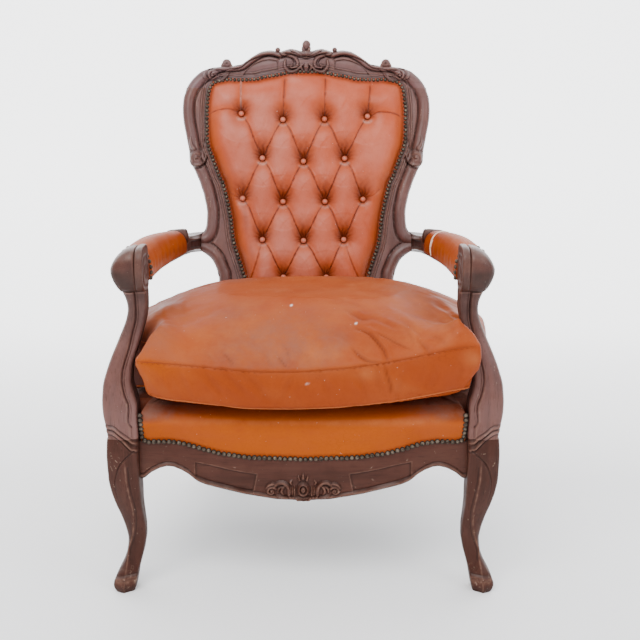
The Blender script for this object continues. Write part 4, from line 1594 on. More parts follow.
def back_pad_piece():
    X, Z = open_patch(250, 264, .0068)
    d = inside_polygon(X, Z, OPEN_LOOP)
    bottom = Z < .4815
    dd = np.where(Z < .500, np.maximum(d, 0), d)
    h = np.where(d > 0, .0016 + .0294 * (1 - np.exp(-np.maximum(d, 0) / .021)), .0013)
    roll = smoothstep(-.0005, .0040, d)
    h = .0013 * (1 - roll) + h * roll
    # the puffs between the pleats
    near = np.full(X.shape, 9.0)
    valley = np.zeros(X.shape)
    fold = np.zeros(X.shape)
    lip = np.zeros(X.shape)
    for line, strength in pleat_lines():
        lo, hi = line.min(0) - .050, line.max(0) + .050
        m = (X > lo[0]) & (X < hi[0]) & (Z > lo[1]) & (Z < hi[1])
        dp, t = polyline_distance(X[m], Z[m], line)
        mid = np.abs(2 * t - 1)
        depth = (.0042 + .0040 * mid ** 2) * strength
        valley[m] = np.maximum(valley[m], depth * np.exp(-dp / .0130))
        jig = .0006 * noise3(X[m] * 160, Z[m] * 160, 0 * X[m], 2.0)
        fold[m] = np.maximum(fold[m], strength * np.exp(-((dp + jig) / .00120) ** 2))
        # upper lip overlaps the lower one
        i = np.clip((t * (len(line) - 1)).astype(int), 0, len(line) - 2)
        seg = line[i + 1] - line[i]
        rel = np.stack([X[m] - line[i][:, 0], Z[m] - line[i][:, 1]], 1)
        side = np.sign(seg[:, 0] * rel[:, 1] - seg[:, 1] * rel[:, 0]) * np.where(seg[:, 0] >= 0, 1, -1)
        lip[m] += strength * np.where(side > 0, 1, -.2) * .00105 * np.exp(-((dp - .0020) / .0026) ** 2) * smoothstep(0, .12, t) * smoothstep(1, .88, t)
        near[m] = np.minimum(near[m], dp)
    inside = smoothstep(.0, .012, d)
    h = h - valley * inside + lip * inside
    h = h - .0021 * fold * inside
    # slack leather: shallow waves and a slightly low lower half
    n1 = fbm(X * 22, Z * 22, X * 0, 3, 1.0)
    n2 = fbm(X * 75 + 4, Z * 60, X * 0, 2, 5.0)
    h = h + (.0011 * n1 + .00035 * n2) * inside
    shade = np.zeros(X.shape)
    dust = np.zeros(X.shape)
    halo = np.zeros(X.shape)
    for k, (bx, bz) in enumerate(BUTTONS):
        dx, dz = X - bx, Z - bz
        r = np.hypot(dx, dz)
        ang = np.arctan2(dz, dx)
        m = r < .060
        fall = 1 - np.exp(-(np.maximum(r - .0054, 0) / .0165) ** 1.10)
        target = TUFT_DEPTH - .0006
        h = np.where(m & (h > target), target + (h - target) * fall, h)
        h = np.where(r < .0060, np.minimum(h, target + .0002), h)
        up = np.maximum(dz, 0)
        # gathers fanning out of the button
        count = 9 + int(5 * hash01(np.array(k * 1.0), np.array(1.0), np.array(2.0), np.array(3.0)))
        rays = np.cos(count * ang + 1.7 * k + 9 * r / .03 * .2)
        g = np.exp(-((r - .0150) / .0075) ** 2) * (.45 + .55 * np.clip(np.sin(ang), 0, 1))
        h += .00048 * rays * g * inside
        shade = np.maximum(shade, g * np.clip(-rays, 0, 1) ** 1.5 * .34)
        streak = .86 + .20 * np.cos((15 + count % 3) * ang + 2.1 * k + 1.4 * np.sin(r * 260 + k))
        reach = .0300 * (1.15 if k in (B1, B2, B3, C1, C2, C3, C4, D1, D2, D3) else .78)
        fan = np.exp(-(up / reach) ** 1.7) * np.exp(-np.abs(dx / (.0136 + .30 * up)) ** 2.0) * smoothstep(-.010, .001, dz)
        shade = np.maximum(shade, np.clip(1.32 * fan * streak, 0, 1))
        halo = np.maximum(halo, np.exp(-((dx / .0230) ** 2 + ((dz - .014) / .034) ** 2)))
        fan2 = np.exp(-(r / .026) ** 1.3) * np.clip(.35 + .65 * np.sin(ang), 0, 1) * streak
        shade = np.maximum(shade, np.clip(.62 * fan2, 0, 1))
        shade = np.maximum(shade, .85 * np.exp(-(np.maximum(r - .0058, 0) / .0042)))
        wisp = np.clip(np.cos((21 + count) * ang + 3.3 * k + 5 * noise3(X * 50, Z * 50, X * 0, 6.0 + k)), 0, 1) ** 10
        shade = np.maximum(shade, .50 * wisp * np.exp(-((r - .018) / .011) ** 2) * np.clip(.25 + np.sin(ang), 0, 1))
        h -= .00040 * wisp * np.exp(-((r - .017) / .009) ** 2) * inside
        cres = np.exp(-((r - .0125) / .0030) ** 2) * smoothstep(-.35, -.85, np.sin(ang))
        dust = np.maximum(dust, cres * (.50 if k in (A1, A4, B1, B3) else .30))
    for line, strength in pleat_lines()[:26]:
        lo, hi = line.min(0) - .012, line.max(0) + .012
        m = (X > lo[0]) & (X < hi[0]) & (Z > lo[1]) & (Z < hi[1])
        dp, t = polyline_distance(X[m], Z[m], line)
        shade[m] = np.maximum(shade[m], .25 * strength * np.exp(-dp / .0040))
    w_line = pleat_lines()[22][0]
    dp, t = polyline_distance(X, Z, w_line)
    dust = np.maximum(dust, np.exp(-((dp - .0008) / .0014) ** 2) * smoothstep(.10, .35, t) * .36)
    dust = np.maximum(dust, .13 * smoothstep(.30, .62, fbm(X * 30, Z * 30, X * 0 + 2, 3, 9.0)) * smoothstep(.930, .945, Z))
    dust = np.maximum(dust, .75 * np.exp(-((Z - .4860) / .0050) ** 2))
    side_d = np.abs(X) - (stile_in(np.minimum(Z, .92)) - .020)
    edge = np.clip(np.exp(-((d - .0060) / .0150) ** 2) * smoothstep(-.030, .0, side_d), 0, 1)
    edge = np.maximum(edge, .22 * np.exp(-((d - .004) / .010) ** 2))
    edge = edge * (.30 + .70 * smoothstep(.90, .80, Z))
    low = smoothstep(.90, .70, Z)
    left = smoothstep(.05, -.05, X)
    shade = np.maximum(shade, (.55 + .15 * low) * np.exp(-(np.maximum(d - .0005, 0) / (.0045 + .0055 * low * (.4 + .6 * left))) ** 2) * (d > -.003))
    shade = np.maximum(shade, .34 * left * low * np.exp(-((d - .030) / .008) ** 2) * np.clip(.6 + n1, 0, 1))
    pale = smoothstep(.10, -.13, X + .05 * n1)
    pink = np.clip(np.maximum(smoothstep(.012, .045, d), smoothstep(.84, .92, Z) * smoothstep(.001, .014, d)) * (.55 + .55 * pale + .35 * n1) * smoothstep(.0, .018, near) * (1 - .85 * halo), 0, 1)
    edge = np.maximum(edge, .62 * halo)
    shade = np.maximum(shade, .13 * pale * smoothstep(.012, .040, d))
    # lower edge tucks in behind the cushion
    n, mcol = X.shape
    yf = back_y(Z) - h
    b = Build()
    P = np.stack([X, yf, Z], axis=-1)
    vals = {"fold": np.clip(fold * inside * .72, 0, 1), "shade": np.clip(shade, 0, 1), "dust": np.clip(dust, 0, 1), "edge": edge, "pink": pink}
    # close it: a rim turned under, and a flat back in the opening
    Xb, Zb = open_patch(250, 264, -.0008)
    yb = back_y(Zb) + .0136
    rim0 = np.concatenate([P[0, :], P[1:, -1], P[-1, -2::-1], P[-2:0:-1, 0]])
    Pb = np.stack([Xb, yb, Zb], axis=-1)
    idx = b.grid(P, values=vals)
    front_rim = np.concatenate([idx[0, :], idx[1:, -1], idx[-1, -2::-1], idx[-2:0:-1, 0]])
    Rm = rim0.copy()
    Rm[:, 1] += .0014
    Pin = np.concatenate([Pb[0, :], Pb[1:, -1], Pb[-1, -2::-1], Pb[-2:0:-1, 0]])
    mid = Pin.copy()
    mid[:, 1] = back_y(mid[:, 2]) + .0016
    loops = [front_rim]
    for L in (Rm, mid, Pin):
        base = b.points(L, {"shade": np.full(len(L), .6)})
        loops.append(np.arange(len(L)) + base)
    for u, v in zip(loops, loops[1:]):
        un, vn = np.roll(u, -1), np.roll(v, -1)
        b.quads(np.stack([u, un, vn, v], axis=-1))
    c = b.points(np.array([[0, back_y(.72) + .0136, .72]]))
    last = loops[-1]
    b.tris(np.stack([last, np.roll(last, -1), np.full(len(last), c)], axis=-1))
    ob = b.make("tufted_back", BACK_LEATHER, sharp=None)
    place(ob, "back_pad", slot="back_leather")
    return ob


back_pad_piece()


def stuffing_wisp():
    """White stuffing and thread pulled out at the foot of the back, in the middle."""
    m = Mat("stuffing", roughness=.95, sheen=.4)
    m.colour(m.ramp(m.noise(300, 3), (.3, (.50, .42, .36)), (.7, (.80, .76, .70))))
    m.bump((m.noise(900, 2), .4, .0004))
    b = Build()
    rng = np.random.default_rng(7)
    for k in range(13):
        x0 = -.028 + .0034 * k + .003 * rng.random()
        n = 6
        pts = []
        for i in range(n):
            x = x0 + (i - 2.5) * .0042 + .0016 * rng.random()
            z = .4965 + .0050 * math.sin(i * 1.3 + k) * rng.random() + .0020 * rng.random()
            pts.append((x, back_y(z) - .0235 - .0016 * rng.random(), z))
        sweep(b, spline(pts, 4), [.0004, .0011, .0010, .0003], 5)
    ob = b.make("stuffing_wisp", m.mat)
    return place(ob)


stuffing_wisp()


def button_piece(k):
    bx, bz = BUTTONS[k]
    c = np.array([bx, back_y(bz) - TUFT_DEPTH - .0003, bz])
    ax = Vector((0, -1, RAKE)).normalized()
    e2 = ax.cross(Vector((1, 0, 0))).normalized()
    E = np.array([[1, 0, 0], list(e2), list(ax)])
    prof = [(.0034, .0000), (.0055, .0003), (.0063, .0013), (.0064, .0024), (.0058, .0039), (.0043, .0051), (.0025, .0058), (.0008, .0060)]
    pf = resample(spline(prof, 5), count=22)
    n = 36
    a = np.arange(n) * 2 * math.pi / n
    rr = pf[:, 0][:, None] * np.ones((1, n))
    hh = pf[:, 1][:, None] * np.ones((1, n))
    seedy = k * 3.1
    pleat = np.cos(11 * a + seedy)[None, :] * .00020 * smoothstep(.0050, .0078, rr)
    hh = hh + pleat + .00025 * noise3(rr * np.cos(a) * 300, rr * np.sin(a) * 300, rr * 0, seedy)
    L = np.stack([rr * np.cos(a), rr * np.sin(a), hh], axis=-1)
    P = L @ E + c
    b = Build()
    shade = np.clip(smoothstep(.0050, .0065, rr) * .75 + .30 * np.clip(np.sin(a), 0, 1)[None, :] * smoothstep(.002, .006, rr), 0, 1)
    b.grid(P, wrap=True, caps=True, values={"shade": shade, "pink": .80, "dust": .30 * smoothstep(.005, .0, rr), "edge": .1})
    return place(b.make("leather_" + BUTTON_NAMES[k], BACK_LEATHER, sharp=60), BUTTON_NAMES[k], slot="button_leather")


for k in range(16):
    button_piece(k)


def outer_back():
    """Leather over the outside of the back: one plain panel, slack and creased."""
    X, Z = open_patch(74, 78, .0066)
    d = inside_polygon(X, Z, OPEN_LOOP)
    n1 = fbm(X * 14, Z * 11, X * 0, 3, 21.0)
    n2 = fbm(X * 48, Z * 40, X * 0, 3, 25.0)
    h = .0372 - .0028 * smoothstep(.001, .030, d) + (.0016 * n1 + .0005 * n2) * smoothstep(.0, .03, d)
    h += .0016 * np.sin((X * 1.0 + Z * .7) * 60) * np.exp(-((d - .020) / .016) ** 2) * (n1 > 0)
    fold = .35 * smoothstep(.55, .8, fbm(X * 30, Z * 9, X * 0, 3, 31.0))
    P1 = np.stack([X, back_y(Z) + h, Z], axis=-1)
    inner = np.where(d > .0008, back_y(Z) + .0290, back_y(Z) + .0364)
    X2, Z2 = X, Z
    P0 = np.stack([X2, np.minimum(inner, P1[..., 1] - .0006), Z2], axis=-1)
    b = Build()
    vals = {"dust": .25 + .35 * smoothstep(.2, .7, n1), "shade": .35 * np.exp(-((d - .001) / .004) ** 2), "fold": fold * .6, "worn": .4 + .4 * n1}
    i1 = b.grid(P1, values={k: np.clip(v, 0, 1) for k, v in vals.items()})
    i0 = b.grid(P0, values={"shade": np.full(X.shape, .4)})
    r1 = np.concatenate([i1[0, :], i1[1:, -1], i1[-1, -2::-1], i1[-2:0:-1, 0]])
    r0 = np.concatenate([i0[0, :], i0[1:, -1], i0[-1, -2::-1], i0[-2:0:-1, 0]])
    b.quads(np.stack([r1, np.roll(r1, -1), np.roll(r0, -1), r0], axis=-1))
    ob = b.make("outer_back_leather", SEAT_LEATHER)
    place(ob, "outer_back_panel", slot="back_leather")


outer_back()

# ------------------------------------------------------------------ dome nails
def nail_shell(b, p, nrm, r, h, wear, seed):
    ax = Vector(nrm).normalized()
    t = ax.cross(Vector((.3, .2, .93))).normalized()
    s = ax.cross(t)
    E = np.array([list(t), list(s), list(ax)])
    ang = np.arange(12) * 2 * math.pi / 12
    prof = np.array([(1.0, 0.0), (1.0, .16), (.90, .48), (.66, .80), (.34, .97), (.06, 1.0)])
    j = 1 + .05 * (seed - .5)
    dent = .12 if seed > .90 else 0
    L = np.stack([prof[:, 0][:, None] * r * j * np.cos(ang), prof[:, 0][:, None] * r * j * np.sin(ang),
                  (prof[:, 1][:, None] - dent * (prof[:, 1][:, None] > .9)) * h * np.ones((1, 12))], axis=-1)
    P = L @ E + np.array(p)
    dirt = np.repeat(np.array([1, .95, .35, .05, 0, 0])[:, None], 12, 1)
    w = np.repeat(np.array([0, 0, .1, .6, 1, 1])[:, None], 12, 1) * wear
    b.grid(P, wrap=True, caps=True, values={"dirt": dirt, "wear": w})


def nail_row(name, node, pts, nrms, pitch=.0094, r=.0046, h=.0035, skip=()):
    pts, nrms = np.array(pts, float), np.array(nrms, float)
    run = np.concatenate([[0], np.cumsum(np.linalg.norm(np.diff(pts, axis=0), axis=1))])
    at = np.linspace(0, run[-1], max(2, int(round(run[-1] / pitch)) + 1))
    both = np.hstack([pts, nrms])
    path = np.stack([np.interp(at, run, both[:, c]) for c in range(6)], axis=1)
    b = Build()
    for k, q in enumerate(path):
        s = float(hash01(np.array(k * 1.37), np.array(len(path) * .11), np.array(.4), np.array(6.0)))
        s2 = float(hash01(np.array(k * 2.11), np.array(len(path) * .31), np.array(.9), np.array(1.0)))
        if k in skip:
            continue
        n = q[3:6] / np.linalg.norm(q[3:6])
        p = q[:3] + np.array([s - .5, 0, s2 - .5]) * .0007
        tilt = np.array([s - .5, 0, s2 - .5]) * .16
        rk = r(p) if callable(r) else r
        nail_shell(b, p, n + tilt, rk, h * rk / .0046, .35 + .65 * s2, s)
    return place(b.make(name, NAIL_MAT, sharp=60), node, slot="dome_nails")


edge_loop = np.vstack([in_right, OPEN_TOP[::-1], np.stack([-in_right[::-1][:, 0], in_right[::-1][:, 1]], 1)])
edge_loop = resample(spline(resample(edge_loop, .010), 4), .003)
gn = np.gradient(edge_loop, axis=0)
gn /= np.linalg.norm(gn, axis=1)[:, None]
nail_line = edge_loop + np.stack([gn[:, 1], -gn[:, 0]], 1) * (.0050 - .0014 * smoothstep(.915, .935, edge_loop[:, 1]))[:, None]
keep = nail_line[:, 1] > .486
nail_line = nail_line[keep]
pts = np.stack([nail_line[:, 0], back_y(nail_line[:, 1]) - .0014, nail_line[:, 1]], 1)
nrm = np.repeat(np.array([[0, -1, RAKE]]), len(pts), 0)
nail_row("dome_nails_back_front", "nails_back_front", pts, nrm, pitch=.0088, r=lambda p: .0043 - .0002 * float(smoothstep(.915, .940, p[2])))
pts = np.stack([nail_line[:, 0], back_y(nail_line[:, 1]) + .0372, nail_line[:, 1]], 1)
nail_row("dome_nails_outer_back", "nails_outer_back", pts, -nrm, h=.0030)

# front of the seat: up each side column and along the curved line
deck_roll = [(-.0003, 0.0), (-.0003, .0065)]


def deck_front_y(x, z):
    zn = nail_z(x)
    zz = np.stack([np.asarray(zn + .0065, float) + 0 * z, .318 + 0 * z, .345 + 0 * z, .364 + 0 * z, .3705 + 0 * z], -1)
    vv = np.array([-.0003, -.0080, -.0160, -.0090, .0100])
    out = np.empty(np.shape(z))
    flat_z, flat_zz = np.ravel(z), zz.reshape(-1, 5)
    o = np.empty(len(flat_z))
    for i in range(len(flat_z)):
        o[i] = np.interp(flat_z[i], flat_zz[i], vv)
    return apron_y(x) + o.reshape(np.shape(z))


col_z = np.linspace(.3500, .3040, 20)
col_x = np.full(20, .2962)
left_col = np.stack([-col_x, deck_front_y(col_x, col_z) - .0006, col_z], 1)
lx = np.linspace(-.2905, .2905, 160)
line = np.stack([lx, apron_y(lx) - .0006, nail_z(lx)], 1)
right_col = np.stack([col_x, deck_front_y(col_x, col_z) - .0006, col_z], 1)[::-1]
seat_path = np.vstack([left_col, line, right_col])
nail_row("dome_nails_seat_front", "nails_seat_front", seat_path, np.repeat(np.array([[0, -1, 0.]]), len(seat_path), 0), r=.0048, h=.0036)


def plan_normals(plan):
    t = np.gradient(plan, axis=0)
    t /= np.linalg.norm(t, axis=1)[:, None]
    return np.stack([t[:, 1], -t[:, 0]], 1)


rail_mid = resample(spline(SIDE_RAIL_PLAN, 10), .004)
rail_n = plan_normals(rail_mid)
rail_outer = rail_mid + rail_n * .0140
for side, lab in ((-1, "left"), (1, "right")):
    q = rail_outer[2:]
    nn = rail_n[2:]
    pts = np.stack([side * (q[:, 0] + nn[:, 0] * .0016), q[:, 1] + nn[:, 1] * .0016, np.full(len(q), .3000)], 1)
    nail_row("dome_nails_seat_" + lab, "nails_seat_" + lab, pts, np.stack([side * nn[:, 0], nn[:, 1], 0 * nn[:, 0]], 1), h=.0030)

# ------------------------------------------------------------------ fixed seat
def closed_smooth(loop, count, sigma):
    """Even points round a closed loop, with its corners rounded over sigma."""
    p = np.vstack([loop, loop[:1]])
    q = resample(p, count=count + 1)[:-1]
    per = np.linalg.norm(np.diff(np.vstack([q, q[:1]]), axis=0), axis=1).sum()
    s = max(sigma / per * count, .01)
    k = np.arange(-int(4 * s) - 1, int(4 * s) + 2)
    w = np.exp(-.5 * (k / s) ** 2)
    w /= w.sum()
    out = np.zeros_like(q)
    for kk, ww in zip(k, w):
        out += ww * np.roll(q, kk, axis=0)
    return out


DECK_SIDE = [(.3010, .0270), (.3010, .0645), (.3370, .0660), (.3445, .1000), (.3470, .1500), (.3410, .2550), (.3205, .3560),
             (.2860, .4430), (.2620, .4720), (.2400, .4880), (.1200, .4880)]


def deck_piece():
    """Leather pulled over the sprung seat and nailed to the front rail."""
    xs = np.concatenate([np.linspace(0, .2975, 68)])
    side = resample(np.array(DECK_SIDE + [(0, .4880)], float), .0055)
    n_f, n_s = len(xs), len(side)

    def ring(front_off, front_z, inset, zs):
        f = np.stack([xs * (1 - max(0, inset - .002) * 1.6), apron_y(xs) + front_off, front_z + 0 * xs], 1)
        d = np.array([0, .27]) - side
        s = side + d / np.linalg.norm(d, axis=1)[:, None] * inset
        s[-1, 0] = 0
        sd = np.stack([s[:, 0], s[:, 1], np.full(n_s, zs)], 1)
        half = np.vstack([f, sd])
        other = half[::-1][1:-1].copy()
        other[:, 0] *= -1
        return np.vstack([half, other])

    zn = nail_z(xs)
    steps = [(.0042, .3071 + 0 * xs, .004, .3071), (.0042, zn + .0002, .002, .3073), (.0010, zn + .0002, .0005, .3076),
             (-.0004, zn + .0010, .0000, .3080), (-.0004, zn + .0060, .0000, .3100)]
    prof = spline([(-.0006, 0.0, 0, .3115), (-.0064, .20, 0, .3175), (-.0118, .38, 0, .326), (-.0140, .52, .0005, .334), (-.0128, .635, .002, .342),
                   (-.0076, .74, .006, .350), (.0030, .83, .013, .3570), (.0180, .905, .024, .3625), (.0380, .965, .038, .3670), (.0560, 1.0, .052, .3698)], 7)
    for off, f, inset, zs in prof[1:]:
        z = (zn + .0075) * (1 - f) + .3690 * f
        steps.append((off, z, inset, zs))
    rings = [ring(*s) for s in steps]
    last = rings[-1]
    c = np.array([0, .27, .3703])
    for k in (.88, .72, .52, .30, .10):
        r = c + (last - c) * k
        rings.append(r)
    P = np.array(rings)
    nrow = len(rings)
    X, Y, Z = P[..., 0], P[..., 1], P[..., 2]
    front = (Y < .055) & (Z > nail_z(np.abs(X)) - .003)
    # each nail pulls the leather: little scallops over the row, then long shallow waves
    up = Z - nail_z(np.abs(X))
    sc = np.cos(X / .0094 * 2 * math.pi) * np.exp(-((up - .011) / .006) ** 2) * .00035
    wave = .0016 * fbm(X * 13, Z * 26, X * 0, 3, 41.0) * smoothstep(.010, .03, up)
    crease = fbm(X * 60, Z * 18, X * 0, 3, 43.0) * .0006
    P[..., 1] = Y - np.where(front, sc + wave + crease, 0)
    corner = smoothstep(.215, .285, np.abs(X) + .02 * fbm(X * 30, Z * 30, X * 0, 3, 7.0)) * smoothstep(.331, .346, Z)
    vals = {"edge": np.where(front, .88 + .3 * np.clip(fbm(X * 9, Z * 9, X * 0, 2, 4.0), -1, .4), .2),
            "shade": np.where(front, np.clip(.75 * np.exp(-((up - .004) / .0035) ** 2) + .45 * smoothstep(.350, .366, Z) + .45 * corner, 0, 1), .6),
            "dust": np.clip(1.1 * smoothstep(.332, .350, Z + .006 * fbm(X * 20, Y * 20, X * 0, 3, 3.0)) * smoothstep(.16, .27, np.abs(X)) + .30 * (Z > .352), 0, 1),
            "fold": np.clip(.30 * corner + .55 * smoothstep(.020, .040, Y) * (Z > .362) * (Y < .2), 0, 1),
            "worn": np.where(front, np.exp(-((Z - .3400 + .004 * fbm(X * 6, X * 0, X * 0, 2, 8.0)) / .0065) ** 2) * (.75 + .5 * fbm(X * 9, Z * 4, X * 0, 2, 9.0)) * smoothstep(.285, .225, np.abs(X)), .1)}
    b = Build()
    b.grid(P, wrap=True, caps=True, values=vals)
    ob = b.make("seat_deck", SEAT_LEATHER, sharp=60)
    place(ob, "deck_pad", slot="seat_leather")


deck_piece()

# ------------------------------------------------------------------ loose cushion
CUSHION_R = [(0, -.0425), (.10, -.0420), (.20, -.0405), (.262, -.0385), (.290, -.0372), (.3120, -.0335), (.3235, -.0255), (.3232, -.0165),
             (.3090, -.0085), (.2905, .0010), (.2850, .0120), (.2845, .052), (.2862, .0715), (.2990, .0795), (.3130, .0900),
             (.3290, .106), (.3440, .134), (.3520, .170), (.3620, .215), (.3670, .260), (.3630, .305), (.3500, .345), (.3230, .392), (.2870, .430),
             (.2400, .4535), (.170, .4610), (.085, .463), (0, .463)]
CUSHION_L = [(0, -.0425), (.10, -.0420), (.20, -.0405), (.255, -.0380), (.283, -.0365), (.3000, -.0320), (.3065, -.0240), (.3040, -.0150),
             (.2960, -.0070), (.2885, .0010), (.2848, .0120), (.2845, .052), (.2862, .0715), (.3010, .0780), (.3180, .0870),
             (.3370, .103), (.3460, .132), (.3490, .170), (.3480, .215), (.3480, .260), (.3430, .305), (.3300, .345), (.3080, .392), (.2790, .430),
             (.2360, .4535), (.170, .4610), (.085, .463), (0, .463)]
SEAM_TOP = table_fn([(-.330, .465), (-.299, .462), (-.269, .4625), (-.19, .457), (-.10, .447), (-.014, .4455), (.081, .453), (.156, .464),
                     (.226, .479), (.268, .488), (.310, .492), (.34, .492)], .018)
SEAM_LOW = table_fn([(-.330, .397), (-.265, .395), (-.19, .387), (-.104, .376), (-.015, .3745), (.081, .379), (.169, .390), (.227, .402),
                     (.298, .411), (.34, .411)], .018)
FOCAL = 58.75 / 36 * 640


def seen_at(x, y, z):
    """Where a point of the drawing falls on a 640 x 640 frame from the viewing place."""
    t = math.radians(13.12)
    dy, dz = y + 1.80, z - .95
    depth = dy * math.cos(t) - dz * math.sin(t)
    return 320 + FOCAL * (x - .031) / depth, 320 - FOCAL * (dy * math.sin(t) + dz * math.cos(t)) / depth


def cushion_surface(grow):
    """Rings from the underside's middle round the boxing to the crown, and the two seams."""
    loop = np.array(CUSHION_R + [(-x, y) for x, y in reversed(CUSHION_L[1:-1])], float)
    plan = closed_smooth(loop, 300, .0055)
    c = np.array([0, .215])
    n = np.gradient(np.vstack([plan[-1:], plan, plan[:1]]), axis=0)[1:-1]
    n /= np.linalg.norm(n, axis=1)[:, None]
    n = np.stack([n[:, 1], -n[:, 0]], 1)
    if ((plan - c) * n).sum() < 0:
        n = -n
    plan = plan + n * grow
    frontness = smoothstep(.10, -.02, plan[:, 1])
    zt = SEAM_TOP(plan[:, 0]) * frontness + .4700 * (1 - frontness)
    zl = SEAM_LOW(plan[:, 0]) * frontness + .3800 * (1 - frontness)
    corner = smoothstep(.235, .300, np.abs(plan[:, 0])) * smoothstep(.02, -.012, plan[:, 1])
    low_plan = plan - n * (.0030 + .0190 * corner * np.where(plan[:, 0] < 0, 1.25, .80))[:, None]
    rings = []
    under = .3735
    for k, f in ((.06, 0), (.25, 0), (.45, 0), (.60, .02), (.70, .07), (.79, .18), (.86, .36), (.915, .57), (.955, .76), (.980, .89), (.994, .97)):
        q = c + (low_plan - c) * k
        rings.append(np.column_stack([q, under + (np.maximum(zl - .0015, under) - under) * f]))
    low = np.column_stack([low_plan, zl])
    rings.append(low)
    for f in (.18, .36, .54, .72, .88):
        q = low_plan * (1 - f) + plan * f + n * ((.0050 - .0030 * corner) * math.sin(math.pi * f))[:, None]
        rings.append(np.column_stack([q, zl + (zt - zl) * f]))
    top = np.column_stack([plan - n * .0010, zt])
    rings.append(top)
    ea, eb = 3.0 + 3.0 * (1 - frontness), .80 - .20 * (1 - frontness)
    for k in (.990, .975, .955, .930, .90, .86, .81, .75, .68, .60, .50, .38, .24, .08):
        q = c + (plan - c) * k
        crown = .5405 - .0125 * ((q[:, 0] - .02) / .26) ** 2 - .0110 * smoothstep(.36, .47, q[:, 1]) - .0060 * smoothstep(.20, .02, q[:, 1])
        dip = .0045 * np.exp(-((q[:, 0] + .03) / .12) ** 2 - ((q[:, 1] - .19) / .12) ** 2)
        z = zt + (crown - dip - zt) * (1 - k ** ea) ** eb
        rings.append(np.column_stack([q, z]))
    return np.array(rings), low, top


def simulate(ob, seams, cap, pressure=4.0, frames=20):
    """Swell a closed skin by simulated air pressure, its seams held, then apply the result."""
    me = ob.data
    n = len(me.vertices)
    co = np.empty(n * 3)
    me.vertices.foreach_get("co", co)
    co = co.reshape(-1, 3)
    from mathutils.kdtree import KDTree
    tree = KDTree(sum(len(s) for s in seams))
    i = 0
    for s in seams:
        for p in s:
            tree.insert(Vector(p), i)
            i += 1
    tree.balance()
    vg = ob.vertex_groups.new(name="held")
    for k in range(n):
        d = tree.find(Vector(co[k]))[2]
        w = math.exp(-(d / .0050) ** 2)
        if co[k, 2] < .3765:
            w = 1.0
        if w > .05:
            vg.add([k], w, "REPLACE")
    cloth = ob.modifiers.new("cloth", "CLOTH")
    st = cloth.settings
    st.quality = 5
    st.mass = .35
    st.tension_stiffness = 12
    st.compression_stiffness = 12
    st.shear_stiffness = 5
    st.bending_stiffness = .8
    st.use_pressure = True
    st.uniform_pressure_force = pressure
    st.vertex_group_mass = "held"
    st.pin_stiffness = 1.0
    st.effector_weights.gravity = 0
    cloth.point_cache.frame_start = 1
    cloth.point_cache.frame_end = frames
    sc = bpy.context.scene
    for f in range(1, frames + 1):
        sc.frame_set(f)
    dg = bpy.context.evaluated_depsgraph_get()
    ev = ob.evaluated_get(dg)
    new = np.empty(n * 3)
    ev.data.vertices.foreach_get("co", new)
    new = new.reshape(-1, 3)
    move = new - co
    bad = ~np.isfinite(move).all(axis=1)
    move[bad] = 0
    length = np.linalg.norm(move, axis=1)
    f = np.where(length > cap, cap / np.maximum(length, 1e-9), 1.0)
    out = co + move * f[:, None]
    ob.modifiers.remove(cloth)
    ob.vertex_groups.remove(vg)
    sc.frame_set(1)
    me.vertices.foreach_set("co", out.astype(np.float32).ravel())
    me.update()
    return out


def apply_modifiers(ob):
    dg = bpy.context.evaluated_depsgraph_get()
    new = bpy.data.meshes.new_from_object(ob.evaluated_get(dg))
    old = ob.data
    ob.modifiers.clear()
    ob.data = new
    bpy.data.meshes.remove(old)
    ob.data.name = ob.name


def set_values(me, values):
    for k, v in values.items():
        at = me.attributes.get(k) or me.attributes.new(k, "FLOAT", "POINT")
        at.data.foreach_set("value", np.clip(v, 0, 1).astype(np.float32))


def nearest(co, curve):
    from mathutils.kdtree import KDTree
    tree = KDTree(len(curve))
    for i, p in enumerate(curve):
        tree.insert(Vector(p), i)
    tree.balance()
    d = np.empty(len(co))
    idx = np.empty(len(co), int)
    for k, p in enumerate(co):
        _, i, dd = tree.find(Vector(p))
        d[k] = dd
        idx[k] = i
    return d, idx


